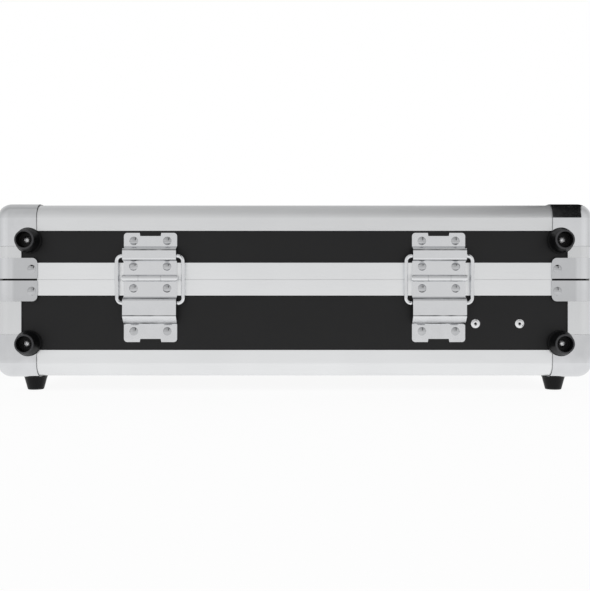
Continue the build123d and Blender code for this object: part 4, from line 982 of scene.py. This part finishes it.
floor_mesh = bpy.data.meshes.new("studio_floor")
floor_mesh.from_pydata(
    [(-reach, -reach, 0), (reach, -reach, 0), (reach, reach, 0), (-reach, reach, 0)],
    [], [(0, 1, 2, 3)])
floor = bpy.data.objects.new("studio_floor", floor_mesh)
bpy.context.scene.collection.objects.link(floor)
floor_finish = bpy.data.materials.new("white_studio_paper")
floor_finish.use_nodes = True
tree = floor_finish.node_tree
tree.nodes.clear()
paper = add_node(tree, "ShaderNodeBsdfDiffuse", {"Color": linear("#FAFAFA")})
place = add_node(tree, "ShaderNodeTexCoord").outputs["Object"]
far = add_node(tree, VECTOR, (place,), operation="LENGTH").outputs["Value"]
gone = add_node(tree, "ShaderNodeMapRange", {
    "Value": far, "From Min": paper_ends, "From Max": paper_gone, "To Max": paper_dimming},
    interpolation_type="SMOOTHSTEP")
glow = add_node(tree, "ShaderNodeEmission", {
    "Color": linear("#FFFFFF"), "Strength": darker_in_mirrors(tree, gone)})
share = add_node(tree, MATH, (seen_directly(tree), paper_glow), operation="MULTIPLY")
mixed = add_node(tree, "ShaderNodeMixShader", (share, paper, glow))
add_node(tree, "ShaderNodeOutputMaterial", {"Surface": mixed})
floor_mesh.materials.append(floor_finish)

world = bpy.data.worlds.new("white_studio")
bpy.context.scene.world = world
world.use_nodes = True
tree = world.node_tree
tree.nodes.clear()
direction = add_node(tree, "ShaderNodeTexCoord").outputs["Generated"]
parts = add_node(tree, "ShaderNodeSeparateXYZ", (direction,)).outputs
across = add_node(tree, MATH, (parts["X"], parts["X"]), operation="MULTIPLY")
along = add_node(tree, MATH, (parts["Y"], parts["Y"]), operation="MULTIPLY")
level_part = add_node(tree, MATH, (across, along), operation="ADD")
level_part = add_node(tree, MATH, (level_part, 2.0), operation="POWER")
level_part = add_node(tree, MATH, (level_part, 0.0001), operation="MAXIMUM")  # never by zero
diagonal = add_node(tree, MATH, (across, along), operation="MULTIPLY")
diagonal = add_node(tree, MATH, (diagonal, level_part), operation="DIVIDE")
round_about = add_node(tree, MATH, (diagonal, corner_gain, wall_light), operation="MULTIPLY_ADD")
height = add_node(tree, MATH, (parts["Z"], 0.0), operation="MAXIMUM")
height = add_node(tree, MATH, (height, sky_bend), operation="POWER")
overhead = add_node(tree, MATH, (height, -sky_dimming, 1.0), operation="MULTIPLY_ADD")
plain_light = add_node(tree, MATH, (round_about, overhead), operation="MULTIPLY")

card = card_dark
for axis, start, end in card_edges:
    step = add_node(tree, "ShaderNodeMapRange", {
        "Value": parts[axis], "From Min": start, "From Max": end},
        interpolation_type="SMOOTHSTEP")
    card = add_node(tree, MATH, (card, step), operation="MULTIPLY")
beside_card = add_node(tree, MATH, (1.0, card), operation="SUBTRACT")
in_metal = add_node(tree, MATH, (plain_light, beside_card), operation="MULTIPLY")
loss = add_node(tree, MATH, (1.0, in_metal), operation="SUBTRACT")
level = add_node(tree, "ShaderNodeMix", {
    "Factor": seen_directly(tree), 2: plain_light, 3: darker_in_mirrors(tree, loss)},
    data_type="FLOAT")
sky = add_node(tree, "ShaderNodeBackground", {"Color": linear("#FFFFFF"), "Strength": level})
add_node(tree, "ShaderNodeOutputWorld", {"Surface": sky})
print("floor reach in metres:", reach)

# %% [markdown]
# ## Two soft lamps
#
# A studio hangs large cloth boxes beside its table. The world alone could light the case, but then
# nothing would give a foot a bright and a dark side. So two large round lamps add a little, one
# from the left in front and one from the right behind. Mirrors don't see them, because a hard white
# disc would show in the chrome.

# %% Lamps
lamp_size = 2.4
lamp_target = Vector((0, 0, 0.08))


def soft_lamp(name, place, power):
    lamp = bpy.data.lights.new(name, "AREA")
    lamp.shape, lamp.size, lamp.energy = "DISK", lamp_size, power
    holder = bpy.data.objects.new(name, lamp)
    holder.location = place
    holder.rotation_euler = (lamp_target - Vector(place)).to_track_quat("-Z", "Y").to_euler()
    holder.visible_camera = holder.visible_glossy = False
    bpy.context.scene.collection.objects.link(holder)
    print(name, "watts:", power)


soft_lamp("key_lamp", (-1.6, -2.2, 2.0), 17)
soft_lamp("fill_lamp", (1.8, 1.8, 2.2), 14)

# %% [markdown]
# ## Camera
#
# The photograph looks straight at the hinge side from close by: the sides of the case can't be
# seen, but the fronts of the feet below lie lower than their backs. The view could be fitted by
# eye, but the distance and the lens follow from two things that are known: the case's width, and
# the feet's two heights in the picture.

# %% Camera
rear_face = -228.35  # the outer face of the rear wall, along Y
distance, eye_level, aside = 750, 85.7, 0.4
camera_data = bpy.data.cameras.new("camera")
camera_data.lens = 51.7
camera_data.sensor_width = 36
camera = bpy.data.objects.new("camera", camera_data)
camera.location = (aside * mm, (rear_face - distance) * mm, eye_level * mm)
camera.rotation_euler = (math.radians(90), 0, 0)
bpy.context.scene.collection.objects.link(camera)
bpy.context.scene.camera = camera
bpy.context.scene.view_settings.view_transform = "Standard"
print("camera at", tuple(round(c, 3) for c in camera.location))
